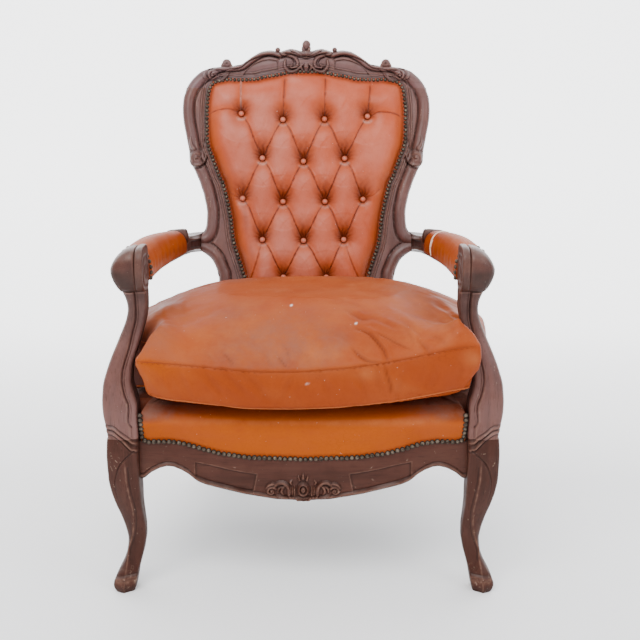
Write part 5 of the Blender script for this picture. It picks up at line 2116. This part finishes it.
def cushion_piece():
    rings, low, top = cushion_surface(-.0030)
    b = Build()
    b.grid(rings, wrap=True, caps=True)
    ob = b.make("seat_cushion_skin", SEAT_LEATHER)
    rm = ob.modifiers.new("even", "REMESH")
    rm.mode = "VOXEL"
    rm.voxel_size = .0074
    apply_modifiers(ob)
    low_w = resample(np.vstack([low, low[:1]]), .0025) - np.array([0, Y_MID, 0])
    top_w = resample(np.vstack([top, top[:1]]), .0025) - np.array([0, Y_MID, 0])
    simulate(ob, [low_w, top_w], .022, pressure=3.2)
    sm = ob.modifiers.new("even_out", "SMOOTH")
    sm.factor = .5
    sm.iterations = 2
    sub = ob.modifiers.new("fine", "SUBSURF")
    sub.levels = sub.render_levels = 1
    apply_modifiers(ob)
    me = ob.data
    n = len(me.vertices)
    co = np.empty(n * 3)
    me.vertices.foreach_get("co", co)
    co = co.reshape(-1, 3)
    nr = np.empty(n * 3)
    me.vertices.foreach_get("normal", nr)
    nr = nr.reshape(-1, 3)
    X, Y, Z = co[:, 0], co[:, 1] + Y_MID, co[:, 2]
    dt, it = nearest(co, top_w)
    dl, il = nearest(co, low_w)
    ds = np.minimum(dt, dl)
    # creases: pucker along the seams, pulled folds, slack hollows on top
    on_top = smoothstep(.3, .8, nr[:, 2])
    s_along = np.where(dt < dl, it, il) * .0025
    pucker = np.sin(s_along * 2 * math.pi / .019 + 2.5 * noise3(X * 30, Y * 30, Z * 30, 3.0)) * np.exp(-((ds - .010) / .009) ** 2)
    pucker *= .35 + .65 * noise3(X * 9, Y * 9, Z * 9, 8.0)
    move = -.0011 * np.exp(-(ds / .0026) ** 2) + .0010 * pucker
    front = smoothstep(.02, -.02, Y) * (1 - on_top)
    a = fbm(X * 16 + Z * 22, Z * 9 - X * 5, Y * 0, 3, 51.0)
    move += front * .0012 * a * smoothstep(.004, .018, ds)
    U, V = seen_at(X, Y, Z)
    faces_us = smoothstep(-.05, .25, nr[:, 2] * .5 - nr[:, 1] * .86) * (Y < .40)
    crease_dark = np.zeros(n)
    for pts, wide, deep, dark in (
            ([(356, 328), (363, 330.5), (369, 333.5), (374, 338), (379, 344), (384, 351), (387, 359), (388, 363)], 1.9, .0040, .55),
            ([(384, 364), (386, 371), (388.5, 379), (390.5, 387), (391, 396)], 1.9, .0036, .50),
            ([(378, 365), (377, 374), (378.5, 384), (382, 396)], 2.2, .0020, .22),
            ([(352, 348), (357, 353.5), (363, 358.5), (369, 361.5), (378, 362.5)], 1.7, .0030, .50),
            ([(376, 333), (386, 337.5), (397, 343.5), (411, 350)], 1.1, .0018, .50),
            ([(418, 340), (423, 345.5), (429, 352), (432, 355)], 2.2, .0024, .25),
            ([(429, 335), (438, 340), (447, 348)], 2.2, .0018, .18), ([(441, 326), (448, 333), (455, 343)], 2.4, .0018, .15),
            ([(452, 322), (460, 331), (466, 343)], 2.0, .0018, .20), ([(461, 320), (469, 330), (474, 340)], 1.8, .0016, .20),
            ([(404, 327), (410, 335), (414, 344)], 2.4, .0016, .15), ([(392, 318), (404, 322), (416, 331), (424, 338)], 2.6, .0018, .15),
            ([(346, 309), (354, 314.5), (362, 318.5), (374, 319)], 2.2, .0022, .25), ([(370, 316), (382, 322), (396, 328)], 2.0, .0016, .15),
            ([(336, 300), (352, 303), (368, 309)], 2.8, .0015, .12), ([(400, 297), (420, 304), (438, 314)], 3.4, .0014, .12),
            ([(420, 296), (434, 302), (447, 312)], 3.0, .0013, .15), ([(436, 303), (446, 312), (452, 322)], 2.6, .0013, .15),
            ([(330, 333), (342, 337), (352, 345)], 2.6, .0014, .10),
            ([(224, 353), (229, 359), (235, 366)], 1.3, .0018, .42), ([(277, 356), (283, 363), (288, 369)], 1.4, .0020, .45),
            ([(282, 344), (287, 351), (290, 361)], 1.5, .0016, .25), ([(262, 352), (268, 359), (272, 368)], 2.0, .0012, .15),
            ([(300, 350), (307, 358), (312, 368)], 2.4, .0012, .12), ([(205, 352), (211, 358), (216, 365)], 2.0, .0010, .12),
            ([(202, 370), (211, 382), (224, 398)], 3.0, .0026, .12), ([(221, 370), (231, 381), (246, 397)], 3.2, .0022, .12),
            ([(240, 372), (253, 383), (267, 400)], 3.6, .0026, .14), ([(296, 376), (288, 388), (284, 402)], 3.2, .0020, .10),
            ([(318, 374), (326, 386), (330, 402)], 3.4, .0018, .10), ([(352, 372), (362, 384), (368, 402)], 3.2, .0022, .12),
            ([(405, 368), (402, 382), (398, 398)], 3.4, .0018, .10), ([(432, 362), (437, 374), (434, 390)], 3.4, .0020, .12),
            ([(452, 354), (458, 368), (455, 384)], 2.8, .0026, .14), ([(176, 368), (182, 382), (190, 398)], 3.0, .0018, .10),
            ([(150, 366), (156, 378), (166, 394)], 2.6, .0016, .12), ([(152, 300), (158, 312), (160, 330)], 3.0, .0008, .10),
            ([(166, 292), (176, 300), (184, 316)], 3.4, .0010, .10)):
        line = spline(pts, 5)
        lo, hi = line.min(0) - 12, line.max(0) + 12
        m = (U > lo[0]) & (U < hi[0]) & (V > lo[1]) & (V < hi[1]) & (faces_us > .01)
        if not m.any():
            continue
        d, t = polyline_distance(U[m], V[m], line)
        g = np.exp(-(d / wide) ** 2) - .55 * np.exp(-((d - 2.0 * wide) / (1.1 * wide)) ** 2)
        g *= np.sin(np.pi * np.clip(t, .04, .96)) ** .55 * faces_us[m]
        move[m] -= deep * g
        crease_dark[m] = np.maximum(crease_dark[m], dark * np.exp(-(d / (.62 * wide)) ** 2) * np.sin(np.pi * np.clip(t, .03, .97)) ** .5 * faces_us[m])
    move += on_top * (.0026 * fbm(X * 7, Y * 7, Z * 0, 3, 61.0) + .0009 * fbm(X * 34, Y * 26, Z * 0, 3, 63.0))
    move += .0005 * fbm(X * 70, Y * 70, Z * 70, 2, 65.0)
    move = np.where(Z < .3775, np.minimum(move, 0), move)
    co2 = co + nr * move[:, None]
    co2[:, 2] = np.maximum(co2[:, 2], .3716)
    co2[:, 0] = np.clip(co2[:, 0], -.3500, .3710)
    # the right front corner stands out full below the seam
    yy = co2[:, 1] + Y_MID
    belly = smoothstep(.250, .298, co2[:, 0]) * smoothstep(.016, -.008, yy) * np.sin(math.pi * np.clip((co2[:, 2] - .402) / .096, 0, 1)) ** .8
    co2[:, 0] += .0170 * belly
    # keep clear of the arm supports
    lim = np.interp(yy, [-.0165, -.0160, -.0060, .0015, .0120, .0700, .0740, .0820, .0920, .1080, .1400, .1401], [9, .3270, .3090, .2910, .2856, .2862, .2930, .3060, .3220, .3420, .3720, 9])
    lim = lim - np.interp(co2[:, 2], [.512, .540], [0, .0030]) * (yy < .10)
    co2[:, 0] = np.clip(co2[:, 0], -lim, lim)
    # fuller crown at the two front corners
    rise = smoothstep(.002, .036, dt) * smoothstep(.12, .45, nr[:, 2])
    rise = np.where(co2[:, 0] < 0, rise, smoothstep(.0, .020, dt) * smoothstep(.0, .25, nr[:, 2]))
    side_amp = np.where(co2[:, 0] < 0, .0330, .0400)
    side_mid = np.where(co2[:, 0] < 0, .268, .292)
    co2[:, 2] += side_amp * rise * np.exp(-((np.abs(co2[:, 0]) - side_mid) / np.where(co2[:, 0] < 0, .040, .034)) ** 2) * np.exp(-((yy - .002) / np.where(yy > .002, .105, .060)) ** 2)
    co2[:, 2] = np.minimum(co2[:, 2], .5425)
    # the right front corner draws in below the seam
    reach = np.interp(co2[:, 2], [.385, .398, .4147, .4290, .4530, .4700, .4890, .5000, .5150], [.278, .2880, .3000, .3095, .3145, .3165, .3160, .3140, .3080])
    over = np.maximum(co2[:, 0] - (reach - .006), 0)
    soft = reach - .006 + .006 * (1 - np.exp(-over / .006))
    co2[:, 0] = np.where((co2[:, 0] > reach - .006) & (yy < .0), soft, co2[:, 0])
    # the slack sides hang a little over the deck's shoulders
    slack = smoothstep(.296, .325, np.abs(co2[:, 0])) * smoothstep(.070, .105, yy) * smoothstep(.300, .220, yy) * smoothstep(.440, .386, co2[:, 2])
    co2[:, 2] -= .0070 * slack
    # the leather runs smooth round both front corners
    ne = len(me.edges)
    ed = np.empty(ne * 2, np.int32)
    me.edges.foreach_get("vertices", ed)
    ea, eb = ed.reshape(-1, 2).T
    share = np.bincount(ea, minlength=n) + np.bincount(eb, minlength=n)
    ease = smoothstep(.222, .262, np.abs(co2[:, 0])) * smoothstep(.060, .030, yy) * .55
    for _ in range(14):
        for c in (0, 1, 2):
            mean = (np.bincount(ea, co2[eb, c], n) + np.bincount(eb, co2[ea, c], n)) / np.maximum(share, 1)
            co2[:, c] += (mean - co2[:, c]) * ease
    co2[:, 0] = np.clip(co2[:, 0], -lim, lim)
    me.vertices.foreach_set("co", co2.astype(np.float32).ravel())
    me.update()
    fadeout = smoothstep(466, 474, U) + smoothstep(150, 142, U)
    seam_here = np.clip(1 - fadeout * smoothstep(.02, -.02, Y), 0, 1)
    shade = .22 * np.exp(-(ds / .0024) ** 2) * seam_here + .55 * smoothstep(.030, .0, dl) * (V > 380) * .5
    fold = np.maximum(.30 * np.exp(-(ds / .0012) ** 2) * seam_here, crease_dark * .50)
    shade = np.maximum(shade, crease_dark)
    shade = np.maximum(shade, .25 * (1 - on_top) * (Y < .10))
    shade = np.maximum(shade, .75 * smoothstep(.388, .376, Z) * (dl > .002))
    shade = np.maximum(shade, .40 * smoothstep(.0, .09, Y) * smoothstep(.315, .345, np.abs(X)) * (1 - on_top))
    pinch = smoothstep(-.012, .004, Y) * smoothstep(.150, .105, Y) * smoothstep(.270, .284, np.abs(X)) * smoothstep(.498, .470, Z)
    shade = np.maximum(shade, pinch)
    fold = np.maximum(fold, .62 * pinch)
    blot = fbm(X * 5 + 2, Y * 5, Z * 0, 3, 71.0)
    dusty = smoothstep(.10, .60, blot + .30 * smoothstep(.0, -.22, X) + .30 * smoothstep(.25, .42, Y)) * on_top
    for u0, v0, ru, rv, amp in ((236, 314, 34, 11, .95), (190, 289, 40, 7, .55), (428, 286, 34, 5, .55), (346, 308, 14, 5, .45), (300, 284, 70, 7, .35),
                                (205, 318, 22, 8, .45)):
        dusty = np.maximum(dusty, amp * np.exp(-((U - u0) / ru) ** 2 - ((V - v0) / rv) ** 2) * on_top * (.8 + .4 * blot))
    red = np.zeros(n)
    for u0, v0, ru, rv, amp in ((172, 305, 16, 18, .75), (440, 304, 16, 9, .75), (455, 320, 12, 12, .45), (300, 290, 90, 10, .35), (412, 318, 40, 14, .25)):
        red = np.maximum(red, amp * np.exp(-((U - u0) / ru) ** 2 - ((V - v0) / rv) ** 2) * (Y < .42))
    shade = np.maximum(shade, .42 * red)
    ochre = np.exp(-((U - 150) / 40) ** 2 - ((V - 362) / 22) ** 2) + .6 * np.exp(-((U - 250) / 60) ** 2 - ((V - 330) / 12) ** 2)
    edge = np.clip((1 - on_top) * (.24 + .20 * a) + .62 * ochre * smoothstep(.30, .0, Y), 0, 1)
    worn = on_top * (.52 + .4 * fbm(X * 8, Y * 8, Z * 0, 3, 73.0)) * (1 - .55 * smoothstep(-.04, -.18, X) * smoothstep(.12, .24, Y)) + (1 - on_top) * .30 * smoothstep(.2, .7, a)
    worn = np.maximum(worn, .95 * np.exp(-((U - 310) / 75) ** 2 - ((V - 354) / 18) ** 2) * (Y < .2))
    worn = np.maximum(worn, .90 * np.exp(-((U - 466) / 7) ** 2 - ((V - 358) / 9) ** 2) * (Y < .1))
    worn = np.maximum(worn, .80 * np.exp(-((U - 365) / 16) ** 2 - ((V - 373) / 8) ** 2) * (Y < .1))
    speck = np.zeros(n)
    for u0, v0, r0 in ((291, 305.5, 1.0), (307.5, 383.5, .9), (356, 323.5, .9)):
        speck = np.maximum(speck, np.exp(-(((U - u0) ** 2 + (V - v0) ** 2) / r0 ** 2) ** 1.5) * (Y < .40) * (Z > .40))
    dusty = np.clip(dusty * .66, 0, 1)
    set_values(me, {"shade": shade, "fold": fold, "dust": dusty, "edge": edge, "worn": worn, "speck": speck})
    me.materials.clear()
    me.materials.append(SEAT_LEATHER)
    me.shade_smooth()
    place(ob, "seat_cushion", slot="seat_leather")
    # sewn seams: a fine raised welt with its thread
    from mathutils.bvhtree import BVHTree
    me.calc_loop_triangles()
    vv = [Vector(v) for v in co2]
    tree = BVHTree.FromPolygons([tuple(v) for v in co2], [tuple(p.vertices) for p in me.polygons])
    sb = Build()
    for curve, thick in ((top_w, .00085), (low_w, .00150)):
        ring = resample(curve, .0050)[:-1]
        pts, ns = [], []
        for p in ring:
            loc, nn, _, _ = tree.find_nearest(Vector(p))
            pts.append(np.array(loc) + np.array(nn) * .0003)
            ns.append(np.array(nn))
        pts = np.array(pts)
        for _ in range(3):
            pts = (np.roll(pts, 1, 0) + 2 * pts + np.roll(pts, -1, 0)) / 4
        pts[:, 2] = np.maximum(pts[:, 2], .3730)
        ns = np.array(ns)
        t = np.roll(pts, -1, 0) - np.roll(pts, 1, 0)
        t /= np.linalg.norm(t, axis=1)[:, None]
        s = np.cross(t, ns)
        s /= np.linalg.norm(s, axis=1)[:, None] + 1e-9
        a = np.arange(8) * 2 * math.pi / 8
        rr = np.full(len(pts), thick)
        uu, vv2 = seen_at(pts[:, 0], pts[:, 1] + Y_MID, pts[:, 2])
        r = rr[:, None, None]
        P = pts[:, None, :] + r * (np.cos(a)[None, :, None] * s[:, None, :] + .75 * np.sin(a)[None, :, None] * ns[:, None, :])
        P = P + np.array([0, Y_MID, 0])
        sb.grid(P, wrap=True, wrap_u=True, values={"shade": .36 if thick < .001 else .05, "fold": .06 if thick < .001 else 0.0, "edge": .4, "worn": .0 if thick < .001 else .8, "dust": .10})
        # stitches beside the welt
        off = pts + s * .0028 + ns * .0001 + np.array([0, Y_MID, 0])
        for k in range(0, len(off), 2):
            p0, p1 = off[k], off[k] + (t[k] * .0036)
            o = s[k] * .00022
            u = ns[k] * .00030
            q = np.array([[p0 - o - u, p0 + o - u, p0 + o + u, p0 - o + u], [p1 - o - u, p1 + o - u, p1 + o + u, p1 - o + u]])
            sb.grid(q, wrap=True, caps=True, values={"fold": .55})
    seam = sb.make("cushion_seams", SEAT_LEATHER)
    seam.parent = ob
    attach(seam, "root")


cushion_piece()

# ------------------------------------------------------------------ arm pads
ARM_IN = table_fn(RAIL_IN, .008)
ARM_OUT = table_fn([(.0600, .3355), (.1400, .3355), (.2200, .3310), (.3000, .3205), (.3700, .3060), (.4000, .2985), (.4170, .2930)], .008)
ARM_RIDGE = table_fn([(.0862, .6465), (.140, .648), (.200, .6475), (.250, .6455), (.300, .642), (.350, .637), (.400, .6315)], .010)
ARM_Y0, ARM_Y1 = .0866, .4000


def arm_section(y, t, grow=0.0, full=1.0):
    """Leather over the arm at angle t: 0 the outer lower edge, pi the inner lower edge. Gives x, z and the outward normal."""
    xi, xo = ARM_IN(y), ARM_OUT(y)
    c, w = (xi + xo) / 2, (xo - xi) / 2 + (.0020 + .0028 * full) + grow
    h = (ARM_RIDGE(y) - .600) * (.84 + .16 * full) + grow
    t = np.asarray(t, float)
    # the first and last parts run down the sides of the rail
    s = np.clip((t - .42) / (math.pi - .84), 0, 1) * math.pi
    low = np.clip((.42 - t) / .42, 0, 1) + np.clip((t - math.pi + .42) / .42, 0, 1)
    x = c + np.sign(np.cos(s)) * np.abs(np.cos(s)) ** .90 * w - np.sign(np.cos(s)) * .0012 * low ** 2
    z = .600 + h * np.abs(np.sin(s)) ** .96 - .0143 * low
    nx, nz = np.cos(s) / w, np.sin(s) / h
    ln = np.hypot(nx, nz)
    return x, z, nx / ln, nz / ln


def arm_pad(name, side):
    y0, y1 = ARM_Y0, ARM_Y1
    ys = np.concatenate([[y0], y0 + np.linspace(.0004, .0045, 6), np.linspace(y0 + .0075, y1 - .014, 96), y1 - np.linspace(.011, .0005, 7), [y1]])
    n = 76
    t = np.linspace(0, math.pi, n)
    rings, vals = [], {"shade": [], "dust": [], "edge": [], "worn": [], "fold": []}
    for y in ys:
        e0 = min(1, (y - y0) / .0045)
        e1 = min(1, (y1 - y) / .014)
        full = (1 - (1 - e0) ** 2.4) ** .5 * (1 - (1 - e1) ** 2.2) ** .5
        x, z, nx, nz = arm_section(y, t, 0.0, full)
        nz3 = fbm(x * 20 * side, np.full(n, y), z * 18, 3, 81.0 + side)
        wave = np.sin(y * 2 * math.pi / .031 + 2.2 * nz3 + side)
        crease = wave * np.exp(-((z - .606) / .010) ** 2) * .0004
        d = .0014 * nz3 + crease - .0006 * np.exp(-((y - y0 - .009) / .006) ** 2)
        d = d * smoothstep(.5855, .592, z) * full
        x2, z2 = x + nx * d, np.minimum(z + nz * d, .6520)
        xi, xo = float(ARM_IN(y)), float(ARM_OUT(y))
        under = [(xi - .0003, .5857), (xi - .0003, .590), (xi - .0003, .595), (xi - .0003, .6003), (xi + .004, .6004), ((xi * 2 + xo) / 3, .6004),
                 ((xi + xo * 2) / 3, .6004), (xo - .004, .6004), (xo + .0003, .6003), (xo + .0003, .595), (xo + .0003, .590), (xo + .0003, .5857)]
        ux, uz = np.array(under).T
        X, Z = np.concatenate([x2, ux]), np.concatenate([z2, uz])
        # the rear end follows the roll, which stands askew
        Y = y + .0115 * np.clip((X - xi) / (xo - xi), -.1, 1.1) * smoothstep(.350, y1, y)
        rings.append(np.stack([side * X, Y, Z], 1))
        k = len(ux)
        base = smoothstep(.592, .5855, z)
        inner = t > math.pi / 2
        rear = smoothstep(.27, .40, y)
        vals["shade"].append(np.concatenate([np.clip(.55 * base + .95 * smoothstep(.0950, .0895, y) + .5 * (1 - e1) + .30 * smoothstep(.62, .59, z) * inner * rear, 0, 1), np.full(k, .9)]))
        vals["dust"].append(np.concatenate([np.clip(.60 * smoothstep(.10, .60, nz3) * smoothstep(.628, .645, z), 0, 1), np.zeros(k)]))
        vals["edge"].append(np.concatenate([np.clip(.68 * smoothstep(.640, .612, z) * (1 - .35 * rear), 0, 1), np.zeros(k)]))
        vals["worn"].append(np.concatenate([np.clip((.75 + .35 * nz3) * smoothstep(.622, .645, z) * (1.0 - .3 * rear), 0, 1), np.zeros(k)]))
        vals["fold"].append(np.concatenate([np.clip(.30 * np.clip(-wave, 0, 1) ** 3 * np.exp(-((z - .604) / .008) ** 2), 0, 1), np.zeros(k)]))
    b = Build()
    b.grid(np.array(rings), wrap=True, caps=False, values={k: np.array(v) for k, v in vals.items()})
    # turned-in ends
    for r, val in ((rings[0], .8), (rings[-1], .9)):
        out, und = r[:n], r[n:]
        q = np.linspace(0, 1, n)
        uq = np.linspace(0, 1, len(und))
        under_line = np.stack([np.interp(q, uq, und[::-1][:, c]) for c in range(3)], 1)
        face = np.stack([out, out * .5 + under_line * .5, under_line])
        b.grid(face, values={"shade": val})
    ob = b.make("arm_pad_leather_" + name, SEAT_LEATHER, sharp=60)
    place(ob, "arm_pad_" + name, slot="arm_leather")
    # dome nails over the front end
    tt = np.linspace(.10, math.pi - .10, 60)
    y = .0912
    x, z, nx, nz = arm_section(y, tt, -.0006)
    pts = np.stack([side * x, np.full(60, y), z], 1)
    ns = np.stack([side * nx, np.full(60, -.80), nz], 1)
    nail_row("dome_nails_arm_" + name, "nails_arm_" + name, pts, ns, pitch=.0102, r=.0042, h=.0046)
    return ob


for side, lab in ((-1, "left"), (1, "right")):
    arm_pad(lab, side)


def torn_edging():
    """Pale backing showing in one long split that runs over the rear of the right arm pad."""
    m = Mat("torn_lining", roughness=.85, sheen=.25)
    m.colour(m.ramp(m.noise(160, 3), (.30, (.60, .38, .29)), (.62, (.84, .66, .55))))
    m.bump((m.noise(700, 2), .4, .0004))
    b = Build()
    rng = np.random.default_rng(11)
    for (y, a0, a1, w, seed) in ((.3500, .80, 3.06, .0033, 1), (.3405, 2.30, 2.62, .0009, 3)):
        n = 60
        rows = []
        for i in range(n):
            t = a0 + (a1 - a0) * i / (n - 1)
            yy = y + .0009 * math.sin(t * 3 + seed) + .00015 * rng.random() - .0085 * (t - 1.8) * (seed == 1)
            x, z, nx, nz = (float(v) for v in arm_section(yy, t))
            nn = np.array([nx, 0, nz])
            p = np.array([x, yy, z]) + nn * .0006
            p[1] += .0115 * (x - float(ARM_IN(yy))) / float(ARM_OUT(yy) - ARM_IN(yy)) * float(smoothstep(.350, ARM_Y1, yy))
            half = w * (.92 + .10 * rng.random()) * math.sin(math.pi * (i + .5) / n) ** .35
            th = .0012
            rows.append([p + np.array([0, -half, 0]) - nn * th, p + np.array([0, half, 0]) - nn * th,
                         p + np.array([0, half * .8, 0]) + nn * th * .6, p + nn * th, p + np.array([0, -half * .8, 0]) + nn * th * .6])
        b.grid(np.array(rows), wrap=True, caps=True)
    return place(b.make("torn_lining", m.mat))


torn_edging()

# ------------------------------------------------------------------ springs, straps, sheets
for k, (x, y) in {"front_left": (-.115, .170), "front_right": (.115, .170), "middle": (0, .285),
                  "rear_left": (-.115, .390), "rear_right": (.115, .390)}.items():
    b = Build()
    n = 4 * 30
    u = np.linspace(0, 1, n + 1)
    rise = u * u * (3 - 2 * u) * .55 + u * .45
    r = .025 + .012 * (2 * u - 1) ** 2
    aa = 2 * math.pi * u * 4
    path = np.stack([x + r * np.cos(aa), y + r * np.sin(aa), .2268 + rise * .0763], 1)
    sweep(b, path, .0018, 9, up=(0, 0, 1))
    place(b.make("coil_" + k, STEEL_MAT), "spring_" + k, slot="spring_steel")
for n in [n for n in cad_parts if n.startswith("webbing")]:
    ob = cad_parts[n]
    ob.data.materials.clear()
    ob.data.materials.append(JUTE_MAT)


def sheet_piece(name, node, P, thick, nrm, mat, slot):
    """Thin closed sheet from a grid of its middle surface."""
    nrm = np.array(nrm, float)
    b = Build()
    top = b.grid(P + nrm * thick / 2)
    low = b.grid(P - nrm * thick / 2)
    r1 = np.concatenate([top[0, :], top[1:, -1], top[-1, -2::-1], top[-2:0:-1, 0]])
    r0 = np.concatenate([low[0, :], low[1:, -1], low[-1, -2::-1], low[-2:0:-1, 0]])
    b.quads(np.stack([r1, np.roll(r1, -1), np.roll(r0, -1), r0], axis=-1))
    ob = b.make(name, mat)
    place(ob, node, slot=slot)
    return ob


def plan_rows(half, ncol, nrow):
    """Grid over a plan given as right-hand half points (x, y), rows of constant y."""
    p = np.array(half, float)
    ys = np.linspace(p[:, 1].min() + 1e-4, p[:, 1].max() - 1e-4, nrow)
    w = []
    for y in ys:
        best = 0
        for (xa, ya), (xb, yb) in zip(p, p[1:]):
            if min(ya, yb) - 1e-9 <= y <= max(ya, yb) + 1e-9 and abs(yb - ya) > 1e-9:
                best = max(best, xa + (xb - xa) * (y - ya) / (yb - ya))
        w.append(best)
    w = np.array(w)
    S = np.linspace(-1, 1, ncol)
    return w[:, None] * S[None, :], np.repeat(ys[:, None], ncol, 1)


HESSIAN_HALF = [(0, .036), (.294, .036), (.294, .0655), (.336, .0700), (.339, .150), (.334, .250), (.314, .352), (.281, .438), (.238, .4875), (0, .4875)]
X, Y = plan_rows(HESSIAN_HALF, 56, 44)
Z = np.full(X.shape, .30605) + .00022 * fbm(X * 20, Y * 20, X * 0, 2, 91.0)
sheet_piece("hessian_over_springs", "spring_hessian", np.stack([X, Y, Z], -1), .0009, (0, 0, 1), HESSIAN_MAT, "hessian")

COVER_HALF = [(0, .0600), (.20, .0600), (.292, .0600), (.300, .0660), (.334, .0700), (.338, .150), (.332, .250), (.312, .352), (.280, .436),
              (.243, .478), (.215, .4880), (.151, .4880), (.149, .5200), (0, .5200)]
X, Y = plan_rows(COVER_HALF, 66, 54)
loop = np.array(COVER_HALF + [(-x, y) for x, y in reversed(COVER_HALF) if x > 0])
d = inside_polygon(X, Y, loop)
sag = .0078 * (1 - np.exp(-np.maximum(d, 0) / .075)) * 1.10
Z = .2220 - sag + .0007 * fbm(X * 12, Y * 12, X * 0, 3, 93.0) * smoothstep(0, .03, d)
Z += .0006 * np.sin(np.arctan2(Y - .27, X) * 46) * np.exp(-((d - .008) / .012) ** 2)
Z = np.clip(Z, .2128, .2222)
arch = smoothstep(.150, .178, np.abs(X)) * smoothstep(.125, .066, Y)
Z = Z + .0142 * arch
sheet_piece("cambric_dust_cover", "dust_cover", np.stack([X, Y, Z], -1), .0007, (0, 0, 1), CAMBRIC_MAT, "black_cambric")

X, Z = open_patch(50, 55, -.0014)
Y = back_y(Z) + .01515 + .00012 * fbm(X * 20, Z * 20, X * 0, 2, 95.0)
sheet_piece("hessian_behind_back", "back_hessian", np.stack([X, Y, Z], -1), .0009, (0, 1, 0), HESSIAN_BACK_MAT, "hessian")

# ------------------------------------------------------------------ floor, backdrop and light
def stage():
    """Pale floor that sweeps up into a bright backdrop behind the chair."""
    prof = [(-7.0, -.0002), (-1.0, -.0002), (1.8, -.0002)]
    R = 1.6
    for i in range(1, 25):
        a = math.pi / 2 * i / 24
        prof.append((1.8 + R * math.sin(a), -.0002 + R * (1 - math.cos(a))))
    prof.append((1.8 + R, 6.0))
    v, f = [], []
    for y, z in prof:
        v += [(-9, y, z), (9, y, z)]
    for i in range(len(prof) - 1):
        f.append((2 * i, 2 * i + 1, 2 * i + 3, 2 * i + 2))
    me = bpy.data.meshes.new("backdrop")
    me.from_pydata(v, [], f)
    for p in me.polygons:
        p.use_smooth = True
    ob = bpy.data.objects.new("backdrop", me)
    bpy.context.scene.collection.objects.link(ob)
    m = Mat("pale_paper", roughness=.85, spec=.15)
    m.colour(m.ramp(m.noise(1.3, 2), (.3, (.88, .88, .885)), (.7, (.91, .91, .91))))
    lift = m.level(m.xyz(1), .25, 3.0, .12, 2.4)
    m.put(m.bsdf.inputs["Emission Color"], (1.0, 1.0, 1.0))
    m.put(m.bsdf.inputs["Emission Strength"], lift)
    me.materials.append(m.mat)


stage()

world = bpy.data.worlds.new("studio")
bpy.context.scene.world = world
world.use_nodes = True
wt = world.node_tree
bg = wt.nodes["Background"]
tc = wt.nodes.new("ShaderNodeTexCoord")
sep = wt.nodes.new("ShaderNodeSeparateXYZ")
wt.links.new(tc.outputs["Generated"], sep.inputs[0])
mr = wt.nodes.new("ShaderNodeMapRange")
mr.clamp = True
for k, val in zip((1, 2, 3, 4), (-.05, .85, .50, 1.65)):
    mr.inputs[k].default_value = val
wt.links.new(sep.outputs[2], mr.inputs[0])
bg.inputs[0].default_value = (.94, .96, 1.0, 1)
wt.links.new(mr.outputs[0], bg.inputs[1])


def area_light(name, loc, aim, size, power, colour=(1, 1, 1)):
    ld = bpy.data.lights.new(name, "AREA")
    ld.shape = "RECTANGLE"
    ld.size, ld.size_y = size
    ld.energy = power
    ld.color = colour
    lo = bpy.data.objects.new(name, ld)
    lo.location = loc
    lo.rotation_euler = (Vector(aim) - Vector(loc)).to_track_quat("-Z", "Y").to_euler()
    bpy.context.scene.collection.objects.link(lo)


area_light("key", (-.9, -2.3, 3.0), (0, 0, .55), (2.6, 1.8), 105, (1, .985, .965))
area_light("fill", (2.4, -1.8, 1.9), (0, 0, .5), (2.0, 1.6), 30, (.94, .965, 1))
